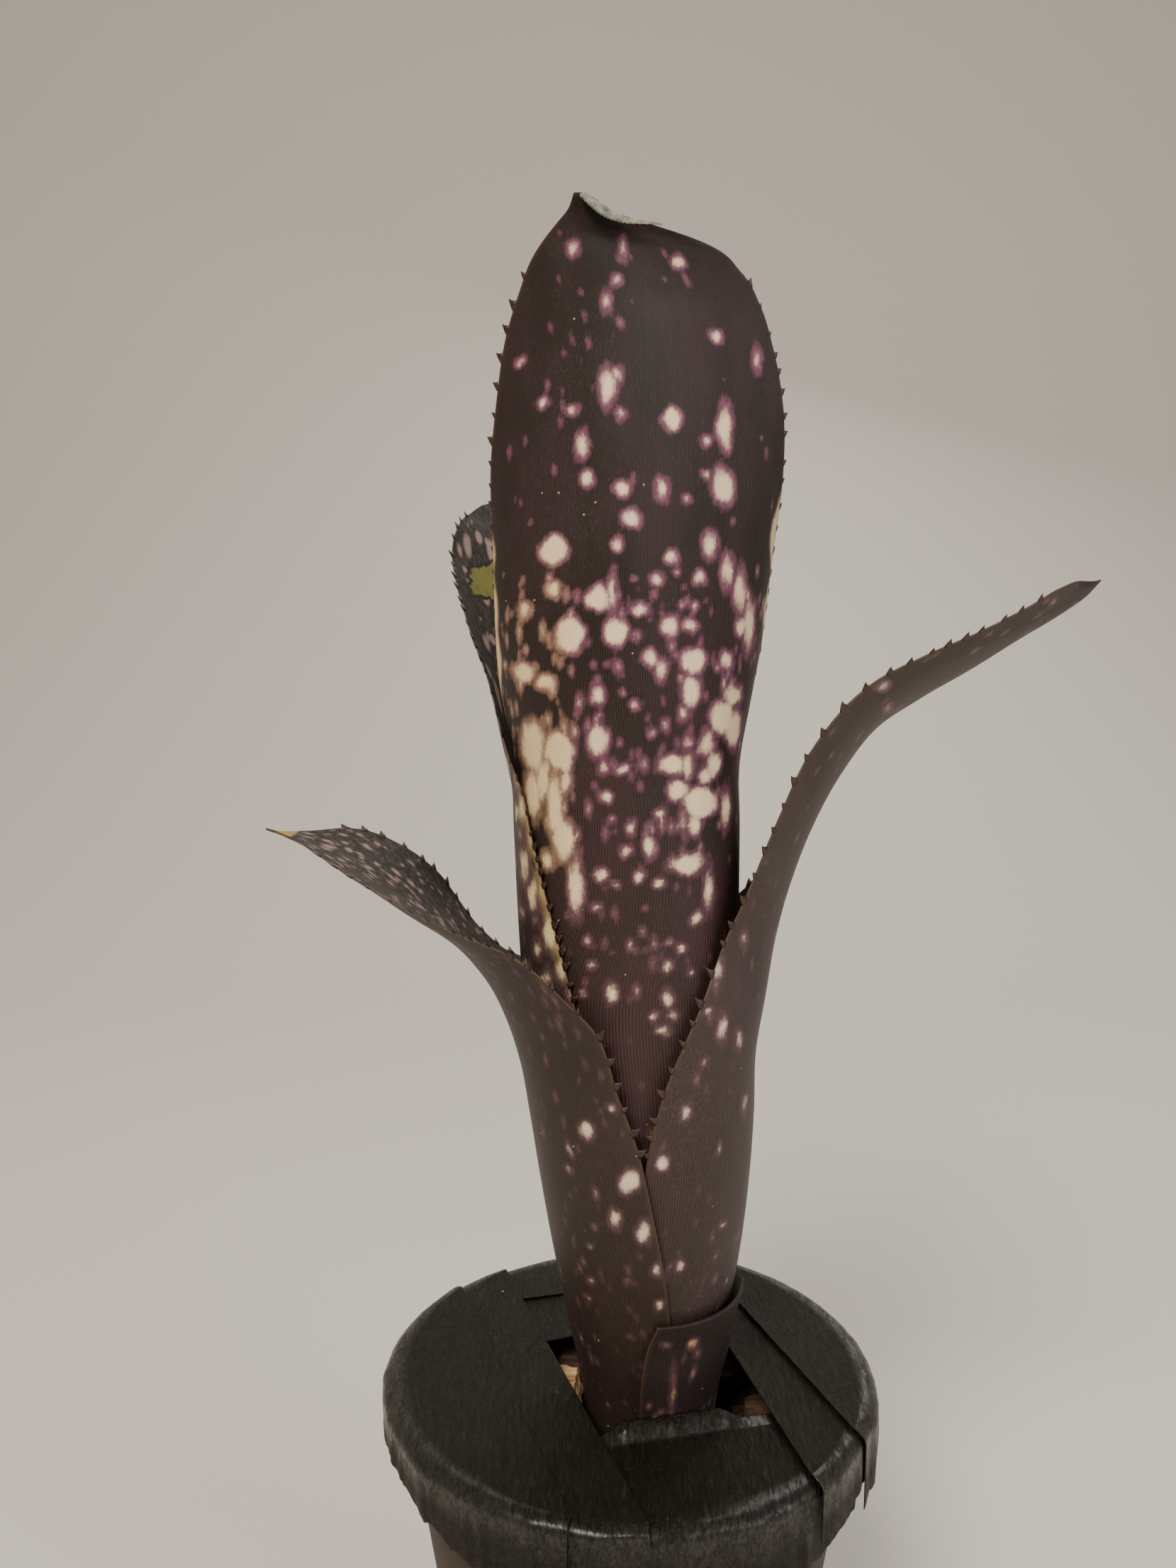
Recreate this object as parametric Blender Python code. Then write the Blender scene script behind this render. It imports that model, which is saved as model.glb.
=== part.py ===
"""A potted tank bromeliad: four leaves rolled round each other into a tube, growing from a
short stem in bark mix, in a plastic pot whose mouth is closed with strips of black tape.

Run with: blender --background --python part.py
Numbers are millimetres until a mesh is made. The origin is the centre of the pot's foot.
"""

import math
import random

import bmesh
import bpy
import numpy as np

MM = 0.001
GAP = 0.35  # air between two pieces that touch

# Pot
POT_HEIGHT = 105.0
RIM_RADIUS = 57.0
COLLAR_HEIGHT = 12.0
BODY_RADIUS = 53.0  # just under the collar
FOOT_RADIUS = 38.0
WALL = 2.0
FLOOR = 2.6
DRAIN_COUNT = 6
DRAIN_RADIUS = 4.0
DRAIN_CIRCLE = 24.0

# Tape
TAPE_THICKNESS = 0.3
TAPE_PITCH = TAPE_THICKNESS + GAP
FOLD_RADIUS = 1.6
RIM = POT_HEIGHT + 1.0  # heights of the plant are counted from this level

# Plant
AXIS_Y = -6.0
LEAF_THICKNESS = 0.9
LAYER = LEAF_THICKNESS + 0.6  # from one rolled leaf to the next

# Height above the rim, sideways lean of the tube's axis, radius of the outermost leaf.
TUBE = [
    (-34, 5.0, 12.6),
    (-18, 5.0, 13.4),
    (-5, 4.5, 14.0),
    (0, 4.2, 15.2),
    (4, 4.1, 16.4),
    (10, 4.1, 17.8),
    (20, 4.4, 19.4),
    (30, 4.8, 21.8),
    (44, 4.5, 24.2),
    (62, 3.8, 26.3),
    (79, 2.7, 27.9),
    (97, 0.8, 28.7),
    (115, 0.1, 29.1),
    (140, -0.4, 29.6),
    (150, -0.8, 29.8),
    (165, -1.0, 30.6),
]


def tube_at(height):
    """Axis x and outermost radius of the rolled tube at a height above the rim."""
    heights, leans, radii = zip(*TUBE)
    return np.interp(height, heights, leans), np.interp(height, heights, radii)


def rolled(height, layer, azimuth, left, right, ease=0.0):
    """A station on the tube: a level arc round the axis, reaching left and right degrees from the midrib.

    ease moves the whole arc outwards along the midrib's azimuth.
    """
    lean, radius = tube_at(height)
    radius -= layer * LAYER
    out = math.radians(azimuth)
    return (
        lean + (radius + ease) * math.cos(out),
        AXIS_Y + (radius + ease) * math.sin(out),
        RIM + height,
        0.0,
        radius,
        radius * math.radians(left),
        radius * math.radians(right),
        0.0,
    )


def free(x, y, height, roll, radius, left, right, lean=1.0):
    """A station on the free blade: midrib point, roll, channel radius, and arc widths to both margins."""
    return (x, y, RIM + height, roll, radius, left, right, lean)


def resample(stations, rows):
    """Stations joined by a smooth curve, read at rows places that crowd towards the tip."""
    table = np.array(stations, float)
    steps = np.linalg.norm(np.diff(table[:, :3], axis=0), axis=1)
    along = np.concatenate([[0.0], np.cumsum(steps)])
    slopes = np.gradient(table, along, axis=0)
    wanted = along[-1] * np.sin(np.linspace(0.0, 1.0, rows) * math.pi / 2)
    low = np.clip(np.searchsorted(along, wanted) - 1, 0, len(along) - 2)
    span = (along[low + 1] - along[low])[:, None]
    t = (wanted - along[low])[:, None] / span
    return (
        (2 * t**3 - 3 * t**2 + 1) * table[low]
        + (t**3 - 2 * t**2 + t) * span * slopes[low]
        + (3 * t**2 - 2 * t**3) * table[low + 1]
        + (t**3 - t**2) * span * slopes[low + 1]
    )


def leaf_surface(stations, azimuth, rows, columns):
    """Grid of points on a leaf's middle surface. Columns run from the left margin to the right one, seen from outside."""
    table = resample(stations, rows)
    path = table[:, :3]
    tangents = np.gradient(path, axis=0)
    tangents /= np.linalg.norm(tangents, axis=1)[:, None]
    out = np.array([math.cos(math.radians(azimuth)), math.sin(math.radians(azimuth)), 0.0])
    grid = np.empty((rows, columns, 3))
    for i, (x, y, z, roll, radius, left, right, lean) in enumerate(table):
        up = np.array([0.0, 0.0, 1.0]) * (1 - lean) + tangents[i] * lean
        up /= np.linalg.norm(up)
        normal = out - out.dot(up) * up
        normal /= np.linalg.norm(normal)
        across = np.cross(up, normal)
        turn = math.radians(roll)
        normal, across = (
            normal * math.cos(turn) + across * math.sin(turn),
            across * math.cos(turn) - normal * math.sin(turn),
        )
        angles = np.linspace(-left, right, columns) / radius
        grid[i] = (
            np.array([x, y, z])
            + radius * np.sin(angles)[:, None] * across
            - radius * (1 - np.cos(angles))[:, None] * normal
        )
    return grid


FRONT_LEAF = {
    "azimuth": 270.0,
    "stations": [
        rolled(-26, 3, 270, 150, 150),
        rolled(0, 3, 270, 152, 152),
        rolled(40, 3, 270, 152, 152),
        rolled(77, 3, 270, 150, 150),
        rolled(100, 3, 270, 138, 142),
        rolled(120, 3, 270, 112, 132),
        rolled(136, 3, 270, 99, 122),
        rolled(150, 3, 270, 90, 108),
        free(-1.2, -33.2, 163, 0, 27.8, 40.5, 46, 0.0),
        free(-1.2, -34.2, 178, 0, 31.0, 38.0, 42.5, 0.0),
        free(-0.8, -34.6, 195, 0, 34.5, 36.8, 40.3, 0.0),
        free(-0.2, -34.6, 213, 0, 38.0, 35.7, 39.1, 0.0),
        free(-0.6, -34.4, 228, 0, 41.0, 31.5, 37.1, 0.0),
        free(-2.6, -34.2, 240, 0, 44.0, 25.9, 35.6, 0.0),
        free(-5.2, -34.4, 248, 0, 46.0, 19.5, 35.0, 0.0),
        free(-7.8, -35.0, 254, 0, 48.0, 13.6, 32.0, 0.0),
        free(-9.6, -35.4, 258, 0, 48.0, 8.4, 25.0, 0.0),
        free(-10.4, -35.8, 260, 0, 44.0, 5.6, 13.5, 0.0),
        free(-11.1, -36.1, 262, 0, 36.0, 3.0, 5.5, 0.0),
        free(-12.0, -36.8, 265, 0, 20.0, 0.8, 0.8, 0.0),
    ],
}

BACK_LEAF = {
    "azimuth": 125.0,
    "stations": [
        rolled(-26, 2, 125, 150, 150),
        rolled(0, 2, 125, 148, 150),
        rolled(40, 2, 125, 140, 142),
        rolled(77, 2, 125, 126, 126),
        rolled(95, 2, 125, 114, 115),
        rolled(108, 2, 125, 104, 107),
        rolled(123, 2, 125, 94, 97),
        rolled(135, 2, 125, 86, 89),
        rolled(146, 2, 125, 77, 79),
        free(-16.9, 17.0, 154, 0, 29.5, 33, 33, 0.4),
        free(-19.2, 21.4, 167, 0, 37.0, 30, 30.5),
        free(-21.6, 26.0, 178, 0, 47.0, 28, 29),
        free(-24.0, 31.4, 189, 0, 58.0, 26.5, 28),
        free(-26.4, 37.0, 198, 0, 60.0, 23, 25),
        free(-28.0, 42.0, 204.5, 0, 60.0, 19, 19.5),
        free(-29.4, 46.6, 209.5, 0, 50.0, 13, 13),
        free(-30.4, 50.6, 212.5, 0, 40.0, 7, 7),
        free(-31.0, 53.6, 213.8, 0, 20.0, 0.8, 0.8),
    ],
}

RIGHT_LEAF = {
    "azimuth": 0.0,
    "stations": [
        rolled(-26, 1, 0, 118, 130),
        rolled(0, 1, 0, 112, 125),
        rolled(30, 1, 0, 104, 118),
        rolled(53, 1, 0, 96, 108),
        rolled(69, 1, 0, 90, 98),
        rolled(83, 1, 0, 80, 88, 0.2),
        free(31.4, AXIS_Y, 97, -2, 26.4, 31.2, 33, 0.5),
        free(33.9, AXIS_Y, 110.5, -9, 28.0, 25.2, 27),
        free(37.1, AXIS_Y, 122.5, -14, 36.0, 22.7, 23),
        free(41.5, AXIS_Y, 134.5, -15, 36.0, 21.5, 21.5),
        free(48.5, AXIS_Y, 148, -15, 35.0, 21.8, 21.8),
        free(56.9, AXIS_Y, 159, -15, 35.8, 20.9, 20.9),
        free(66.5, AXIS_Y, 165.6, -15, 34.5, 19.2, 19.2),
        free(79.3, AXIS_Y, 173.1, -15, 32.0, 16.2, 16.2),
        free(90.0, AXIS_Y, 179.8, -15, 25.0, 12.7, 12.7),
        free(98.4, AXIS_Y, 184.8, -15, 14.0, 10.0, 10),
        free(103.6, AXIS_Y, 188.4, -15, 9.0, 6.6, 6.6),
        free(107.2, AXIS_Y, 191.8, -15, 8.0, 0.8, 0.8),
    ],
}

LEFT_LEAF = {
    "azimuth": 187.0,
    "stations": [
        rolled(-26, 0, 187, 130, 116),
        rolled(0, 0, 187, 125, 105),
        rolled(24, 0, 187, 118, 94),
        rolled(37, 0, 187, 110, 89),
        rolled(53, 0, 187, 100, 83),
        rolled(69, 0, 187, 90, 77),
        rolled(80, 0, 187, 80, 71, 0.2),
        free(-28.6, -9.4, 90.5, 3, 30.0, 33, 32.5, 0.6),
        free(-32.6, -9.8, 99.0, 8, 37.0, 26, 26.0),
        free(-36.4, -10.2, 104.2, 7, 41.0, 24, 23.5),
        free(-42.4, -10.8, 110.8, 0, 50.0, 22.0, 21.8),
        free(-50.0, -11.6, 117.6, -9, 42.0, 19.5, 19.5),
        free(-58.0, -12.4, 124.6, -14, 44.0, 17.0, 17.0),
        free(-66.5, -13.2, 129.9, -14, 40.0, 14.0, 14.0),
        free(-73.5, -13.8, 132.8, -9, 34.0, 9.5, 9.5),
        free(-79.0, -14.2, 134.6, -5, 24.0, 5, 5),
        free(-82.6, -14.4, 135.8, 0, 16.0, 0.8, 0.8),
    ],
}

OLD_SHEATH = {
    "azimuth": 340.0,
    "stations": [
        rolled(-26, -1, 340, 80, 140),
        rolled(-10, -1, 340, 79, 130),
        rolled(2, -1, 340, 78, 110),
        rolled(12, -1, 340, 76, 84),
        rolled(20, -1, 340, 73, 56),
        rolled(26, -1, 340, 68, 20),
    ],
}


def start_scene():
    """Empties the startup scene."""
    for item in list(bpy.data.objects):
        bpy.data.objects.remove(item)


def material(name, colour, roughness):
    """A plain finish for one kind of piece."""
    made = bpy.data.materials.new(name)
    made.use_nodes = True
    shader = made.node_tree.nodes["Principled BSDF"]
    shader.inputs["Base Color"].default_value = (*colour, 1.0)
    shader.inputs["Roughness"].default_value = roughness
    shader.inputs["Metallic"].default_value = 0.0
    return made


def add_object(name, build, finish):
    """A named object from a bmesh in millimetres."""
    for vertex in build.verts:
        vertex.co *= MM
    mesh = bpy.data.meshes.new(name)
    build.to_mesh(mesh)
    build.free()
    mesh.materials.append(finish)
    made = bpy.data.objects.new(name, mesh)
    bpy.context.scene.collection.objects.link(made)
    mesh.shade_smooth()
    mesh.set_sharp_from_angle(angle=math.radians(40))
    return made


def thicken(piece, thickness):
    """Gives a sheet its wall, half to each side."""
    wall = piece.modifiers.new("wall", "SOLIDIFY")
    wall.thickness = thickness * MM
    wall.offset = 0.0
    wall.use_even_offset = True
    return wall


def grid_mesh(grid):
    """Quads over a grid of points."""
    build = bmesh.new()
    rows = [[build.verts.new(point) for point in row] for row in grid]
    for low, high in zip(rows, rows[1:]):
        for i in range(len(low) - 1):
            build.faces.new((low[i], low[i + 1], high[i + 1], high[i]))
    return build


def add_leaf(name, leaf, finish, rows, columns):
    """One leaf, a thin shell on its middle surface."""
    surface = leaf_surface(leaf["stations"], leaf["azimuth"], rows, columns)
    piece = add_object(name, grid_mesh(surface), finish)
    thicken(piece, LEAF_THICKNESS)
    return piece


def turned(profile, segments, height=0.0):
    """A solid of revolution about Z from (radius, z) points that start and end on the axis, bottom to top outside."""
    build = bmesh.new()
    rings = []
    for radius, z in profile:
        if radius == 0:
            rings.append([build.verts.new((0, 0, z + height))])
            continue
        turn = [2 * math.pi * k / segments for k in range(segments)]
        rings.append([build.verts.new((radius * math.cos(a), radius * math.sin(a), z + height)) for a in turn])
    for low, high in zip(rings, rings[1:]):
        for k in range(segments):
            n = (k + 1) % segments
            if len(low) == 1:
                build.faces.new((low[0], high[n], high[k]))
            elif len(high) == 1:
                build.faces.new((low[k], low[n], high[0]))
            else:
                build.faces.new((low[k], low[n], high[n], high[k]))
    return build


def cut(piece, cutter):
    """Takes a cutter's shape out of a piece."""
    cutter.hide_render = True
    cutter.display_type = "WIRE"
    boolean = piece.modifiers.new("cut " + cutter.name, "BOOLEAN")
    boolean.operation = "DIFFERENCE"
    boolean.solver = "EXACT"
    boolean.object = cutter


def body_radius(z):
    """Outside of the pot's tapered body at a height above the foot."""
    return FOOT_RADIUS + (BODY_RADIUS - FOOT_RADIUS) * z / (POT_HEIGHT - COLLAR_HEIGHT)


def add_pot(finish):
    """Tapered pot with a collar, a flat base and a ring of drain holes."""
    step = POT_HEIGHT - COLLAR_HEIGHT
    profile = [
        (0, 0),
        (FOOT_RADIUS - 1.5, 0),
        (FOOT_RADIUS, 1.5),
        (body_radius(step), step),
        (RIM_RADIUS - 0.8, step),
        (RIM_RADIUS, step + 0.8),
        (RIM_RADIUS, POT_HEIGHT - 0.8),
        (RIM_RADIUS - 0.8, POT_HEIGHT),
        (RIM_RADIUS - WALL, POT_HEIGHT),
        (RIM_RADIUS - WALL, step + WALL),
        (body_radius(step) - WALL, step - 1.0),
        (FOOT_RADIUS - WALL, FLOOR),
        (0, FLOOR),
    ]
    pot = add_object("pot", turned(profile, 48), finish)
    for k in range(DRAIN_COUNT):
        turn = 2 * math.pi * (k + 0.5) / DRAIN_COUNT
        hole = turned([(0, -2), (DRAIN_RADIUS, -2), (DRAIN_RADIUS, 6), (0, 6)], 10)
        cutter = add_object(f"drain_cutter_{k + 1}", hole, finish)
        cutter.location = (
            DRAIN_CIRCLE * math.cos(turn) * MM,
            DRAIN_CIRCLE * math.sin(turn) * MM,
            0,
        )
        cut(pot, cutter)
    return pot


MIX_TOP = RIM - 15.0
MIX_SEGMENTS = 32


def mix_surface(x, y):
    """Height of the bark mix's lumpy top."""
    lumps = math.sin(x * 0.42 + 1.0) * math.sin(y * 0.47) + 0.6 * math.sin(x * 0.9 - y * 0.7)
    return MIX_TOP + 0.9 * lumps


def add_mix(finish):
    """The bark mix fills the pot up to under the rim, with a socket for the plant."""
    profile = [(0, FLOOR + GAP)]
    profile += [(body_radius(z) - WALL - 0.6, z) for z in (FLOOR + GAP, POT_HEIGHT / 2, MIX_TOP - 1.5)]
    profile += [(ring, MIX_TOP) for ring in (48.0, 40.0, 32.0, 24.0, 12.0)]
    profile.append((0, MIX_TOP))
    build = turned(profile, MIX_SEGMENTS)
    for vertex in build.verts:
        if vertex.co.z > MIX_TOP - 0.1:
            vertex.co.z = mix_surface(vertex.co.x, vertex.co.y)
    mix = add_object("bark_mix", build, finish)
    lean, radius = tube_at(-26)
    socket = [(0, -54), (10, -54), (radius + LAYER + 1.4, -30), (radius + LAYER + 3.4, -8), (0, -8)]
    cutter = add_object("socket_cutter", turned(socket, 28, RIM), finish)
    cutter.location = (lean * MM, AXIS_Y * MM, 0)
    cut(mix, cutter)
    return mix


def add_stem(finish):
    """The short stem that all the leaves sit on, buried in the mix."""
    profile = [(0, -52), (6, -51), (8.4, -46), (9.2, -38), (7.6, -28), (6.8, -16), (4.5, -11), (0, -9)]
    stem = add_object("stem", turned(profile, 20, RIM), finish)
    lean, _ = tube_at(-26)
    stem.location = (lean * MM, AXIS_Y * MM, 0)
    return stem


# Where each bark chip lies: x, y, lift of its lowest point over the mix, length, width, thickness, turn in degrees.
CHIPS = [
    (-17.5, 4.5, 3.2, 13, 9, 6, 60),
    (-21.0, -12.0, 0.6, 15, 10, 6, 20),
    (-14.0, 19.0, 0.6, 14, 10, 6, 140),
    (5.0, 24.0, 0.6, 16, 11, 6, 10),
    (26.5, 16.0, 0.6, 15, 10, 6, 100),
    (33.0, -6.0, 0.6, 14, 9, 6, 75),
    (24.5, -29.0, 0.6, 15, 10, 6, 30),
    (2.0, -36.0, 0.6, 14, 10, 6, 170),
]


def add_chips(finish):
    """Loose chips of bark lying on the mix round the plant."""
    for number, (x, y, lift, length, width, height, turn) in enumerate(CHIPS, 1):
        rng = random.Random(number)
        build = bmesh.new()
        for _ in range(16):
            point = np.array([rng.uniform(-1, 1) for _ in range(3)])
            point /= max(abs(point)) ** 0.8
            build.verts.new((point[0] * length / 2, point[1] * width / 2, point[2] * height / 2))
        hull = bmesh.ops.convex_hull(build, input=build.verts)
        bmesh.ops.delete(build, geom=hull["geom_interior"], context="VERTS")
        bmesh.ops.recalc_face_normals(build, faces=build.faces)
        chip = add_object(f"bark_chip_{number}", build, finish)
        top = max(mix_surface(x + a, y + b) for a in (-5, 0, 5) for b in (-5, 0, 5))
        chip.location = (x * MM, y * MM, (top + lift + height / 2) * MM)
        chip.rotation_euler = (0, 0, math.radians(turn))


# Each strip covers the side of the mouth beyond a straight edge and folds down over the collar.
# Strip: layer, direction it faces, its edge's distance from the middle, and how far it
# hangs down the outside, read evenly along the rim from its right end to its left end.
STRIPS = {
    "tape_front": (0, 282.3, 29.0, (9.0, 10.0, 15.0, 14.0, 10.0)),
    "tape_back": (0, 109.3, 17.5, (5.0, 5.0, 5.0)),
    "tape_back_top": (1, 104.3, 37.0, (6.0, 7.0, 6.0)),
    "tape_left": (2, 199.3, 16.5, (6.0, 5.0, 6.0, 13.0, 12.0)),
    "tape_left_edge": (3, 199.3, 31.0, (4.0, 5.0, 8.0, 11.0)),
    "tape_right": (2, 13.7, 26.5, (11.0, 6.0, 4.0, 6.0)),
    "tape_right_edge": (3, 19.3, 37.5, (15.0, 7.0, 4.0, 5.0)),
}
LIP_WIDTH = 4.0  # the front strip's inner edge curls up towards the plant
LIP_RISE = 3.0


def lip_share(x):
    """The lip lies flat again where the side strips hold it down."""
    return min(max((x + 6.0) / 5.0, 0.0), 1.0) * min(max((26.0 - x) / 5.0, 0.0), 1.0)


def strip_mesh(layer, facing, offset, hangs, lip):
    """One strip's middle surface: a flat field, a rounded edge and a skirt, and a lip if it has one."""
    level = POT_HEIGHT + GAP + TAPE_THICKNESS / 2 + layer * TAPE_PITCH
    side = RIM_RADIUS + GAP + TAPE_THICKNESS / 2 + layer * TAPE_PITCH
    flat = side - FOLD_RADIUS
    middle = math.radians(facing)
    half = math.acos(offset / flat)
    count = max(8, round(math.degrees(2 * half) / 5))
    turns = np.linspace(middle - half, middle + half, count)
    reach = np.interp(np.linspace(0, 1, count), np.linspace(0, 1, len(hangs)), hangs)
    rings = [(flat, [level] * count)]
    for bend in (math.radians(30), math.radians(60), math.radians(90)):
        drop = FOLD_RADIUS * (1 - math.cos(bend))
        rings.append((flat + FOLD_RADIUS * math.sin(bend), [level - drop] * count))
    rings.append((side, [level - FOLD_RADIUS - length for length in reach]))

    build = bmesh.new()
    rows = [
        [build.verts.new((r * math.cos(t), r * math.sin(t), z)) for t, z in zip(turns, heights)]
        for r, heights in rings
    ]
    for inner, outer in zip(rows, rows[1:]):
        for k in range(count - 1):
            build.faces.new((inner[k], outer[k], outer[k + 1], inner[k + 1]))
    edge = []
    if lip:
        ends = [np.array(rows[0][k].co) for k in (-1, 0)]
        edge = [build.verts.new(ends[0] + (ends[1] - ends[0]) * k / 14) for k in range(1, 14)]
        inward = np.array([-math.cos(middle), -math.sin(middle), 0.0]) * LIP_WIDTH
        curl = [build.verts.new(np.array(v.co) + inward + (0, 0, LIP_RISE * lip_share(v.co.x))) for v in edge]
        for k in range(len(edge) - 1):
            build.faces.new((edge[k], edge[k + 1], curl[k + 1], curl[k]))
    build.faces.new(rows[0] + edge)
    bmesh.ops.recalc_face_normals(build, faces=build.faces)
    return build


def add_tape(finish):
    """Strips of tape over the pot's mouth, laid one over another."""
    for name, (layer, facing, offset, hangs) in STRIPS.items():
        build = strip_mesh(layer, facing, offset, hangs, name == "tape_front")
        thicken(add_object(name, build, finish), TAPE_THICKNESS)


def main():
    start_scene()
    leaf_finish = material("leaf", (0.045, 0.030, 0.030), 0.5)
    pot_finish = material("brown plastic", (0.16, 0.10, 0.06), 0.35)
    tape_finish = material("black tape", (0.022, 0.020, 0.016), 0.55)
    mix_finish = material("bark mix", (0.05, 0.03, 0.02), 0.95)
    chip_finish = material("bark", (0.38, 0.22, 0.09), 0.9)
    stem_finish = material("stem", (0.20, 0.13, 0.07), 0.8)
    sheath_finish = material("old sheath", (0.05, 0.03, 0.02), 0.7)
    add_pot(pot_finish)
    add_mix(mix_finish)
    add_stem(stem_finish)
    add_chips(chip_finish)
    add_tape(tape_finish)
    add_leaf("leaf_front", FRONT_LEAF, leaf_finish, 27, 21)
    add_leaf("leaf_back", BACK_LEAF, leaf_finish, 23, 19)
    add_leaf("leaf_right", RIGHT_LEAF, leaf_finish, 23, 18)
    add_leaf("leaf_left", LEFT_LEAF, leaf_finish, 23, 18)
    add_leaf("old_sheath", OLD_SHEATH, sheath_finish, 7, 17)


main()
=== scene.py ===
"""Looks of the potted tank bromeliad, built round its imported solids.

Lengths in the tables and functions are millimetres; they become metres when a mesh is made.
Depths of relief, the scales of patterns, the stage and the camera are in metres.
"""

import math
import random

import bmesh
import bpy
import numpy as np
from mathutils import Matrix, Vector, noise


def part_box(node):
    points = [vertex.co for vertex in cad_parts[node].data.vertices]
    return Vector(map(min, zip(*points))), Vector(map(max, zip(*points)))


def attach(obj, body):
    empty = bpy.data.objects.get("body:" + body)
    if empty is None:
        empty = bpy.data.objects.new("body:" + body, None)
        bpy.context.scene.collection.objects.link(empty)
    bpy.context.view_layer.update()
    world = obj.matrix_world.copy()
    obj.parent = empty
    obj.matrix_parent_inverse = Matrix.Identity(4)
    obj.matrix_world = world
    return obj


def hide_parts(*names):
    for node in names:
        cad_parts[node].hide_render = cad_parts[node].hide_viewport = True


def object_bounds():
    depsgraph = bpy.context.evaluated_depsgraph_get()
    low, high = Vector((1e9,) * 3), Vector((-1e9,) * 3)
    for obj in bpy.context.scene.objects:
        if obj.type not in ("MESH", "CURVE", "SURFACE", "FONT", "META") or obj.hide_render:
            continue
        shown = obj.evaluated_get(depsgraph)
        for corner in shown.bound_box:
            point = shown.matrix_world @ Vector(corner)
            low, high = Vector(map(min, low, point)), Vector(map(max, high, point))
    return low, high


MM = 0.001
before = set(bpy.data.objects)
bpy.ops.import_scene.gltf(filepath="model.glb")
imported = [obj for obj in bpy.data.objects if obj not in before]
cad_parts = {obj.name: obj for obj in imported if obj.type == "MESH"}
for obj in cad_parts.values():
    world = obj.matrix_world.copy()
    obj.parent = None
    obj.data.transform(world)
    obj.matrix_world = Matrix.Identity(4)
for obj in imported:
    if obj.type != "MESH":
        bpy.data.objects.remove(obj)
CAD_BOX = [list(corner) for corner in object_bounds()]

POT_HEIGHT = 105.0
RIM_RADIUS = 57.0
COLLAR_HEIGHT = 12.0
BODY_RADIUS = 53.0
FOOT_RADIUS = 38.0
POT_WALL = 2.0
DRAIN_HOLES = 6
DRAIN_CIRCLE = 24.0
DRAIN_RADIUS = 4.0
RIM = POT_HEIGHT + 1.0  # heights on the plant are counted from here
AXIS_Y = -6.0  # the tube of leaves stands this far in front of the pot's middle
LAYER = 1.5  # from one rolled leaf in to the next
LEAF_THICKNESS = 0.9


# ---------------------------------------------------------------- small tools


def rgb(red, green, blue):
    """A display colour from 0 to 255 as the linear colour that a socket holds."""
    parts = [v / 255 for v in (red, green, blue)]
    return tuple(v / 12.92 if v < 0.04045 else ((v + 0.055) / 1.055) ** 2.4 for v in parts) + (1.0,)


def clear_selection():
    """Leaves nothing selected, so that an operator touches only what it should."""
    if bpy.context.object and bpy.context.object.mode != "OBJECT":
        bpy.ops.object.mode_set(mode="OBJECT")
    bpy.ops.object.select_all(action="DESELECT")


def take(piece):
    """Selects one piece alone and makes it the active one."""
    clear_selection()
    piece.select_set(True)
    bpy.context.view_layer.objects.active = piece


def settle(piece):
    """Puts a finished piece's place into its mesh, so that its object sits at the origin."""
    take(piece)
    bpy.ops.object.transform_apply(location=True, rotation=True, scale=True)


def start_piece(name):
    """Names the primitive just added."""
    piece = bpy.context.object
    piece.name = name
    piece.data.name = name
    return piece


def apply_all(piece):
    """Applies every modifier on a piece."""
    take(piece)
    for modifier in list(piece.modifiers):
        bpy.ops.object.modifier_apply(modifier=modifier.name)


def face_out():
    """In edit mode, turns every face outwards, then goes back to object mode."""
    bpy.ops.mesh.select_all(action="SELECT")
    bpy.ops.mesh.normals_make_consistent(inside=False)
    bpy.ops.object.mode_set(mode="OBJECT")


def draw_up(radius, height, profile):
    """In edit mode, extrudes the selected disc through (radius, height) pairs."""
    for wide, z in profile:
        bpy.ops.mesh.extrude_region_move(TRANSFORM_OT_translate={"value": (0, 0, (z - height) * MM)})
        bpy.ops.transform.resize(value=(wide / radius, wide / radius, 1), center_override=(0, 0, 0))
        radius, height = wide, z


def join_copies(copies, name, finish):
    """Joins copies into one piece with one finish."""
    clear_selection()
    for copy in copies:
        copy.select_set(True)
    bpy.context.view_layer.objects.active = copies[0]
    bpy.ops.object.join()
    piece = start_piece(name)
    settle(piece)
    piece.data.materials.clear()
    piece.data.materials.append(finish)
    return piece


def add_wall(piece, thickness):
    """A Solidify modifier that gives a sheet its thickness, half of it on each side."""
    wall = piece.modifiers.new("wall", "SOLIDIFY")
    wall.thickness = thickness * MM
    wall.offset = 0.0
    return wall


def vertex_array(piece):
    """A piece's vertices in millimetres."""
    flat = np.empty(len(piece.data.vertices) * 3)
    piece.data.vertices.foreach_get("co", flat)
    return flat.reshape(-1, 3) / MM


def set_vertices(piece, points):
    """Moves a piece's vertices to points in millimetres."""
    piece.data.vertices.foreach_set("co", (np.asarray(points) * MM).ravel())
    piece.data.update()


def value_on(piece, name, values):
    """A number on every vertex, which a material reads by its name."""
    made = piece.data.attributes.new(name, "FLOAT", "POINT")
    made.data.foreach_set("value", np.asarray(values, dtype=float).ravel())


def lumps(points, size, seed=0.0):
    """Smooth noise from -1 to 1 at each point, with lumps about size millimetres across."""
    shift = Vector((seed * 7.3, seed * 3.1, seed * 5.7))
    return np.array([noise.noise(Vector(p) / size + shift) for p in points])


def pick_edges(piece, wanted):
    """In edit mode, selects the edges that a test accepts, and nothing else."""
    bpy.ops.mesh.select_mode(type="EDGE")
    bpy.ops.mesh.select_all(action="DESELECT")
    shape = bmesh.from_edit_mesh(piece.data)
    for edge in shape.edges:
        edge.select = wanted(edge)
    shape.select_flush_mode()
    bmesh.update_edit_mesh(piece.data)


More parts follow.
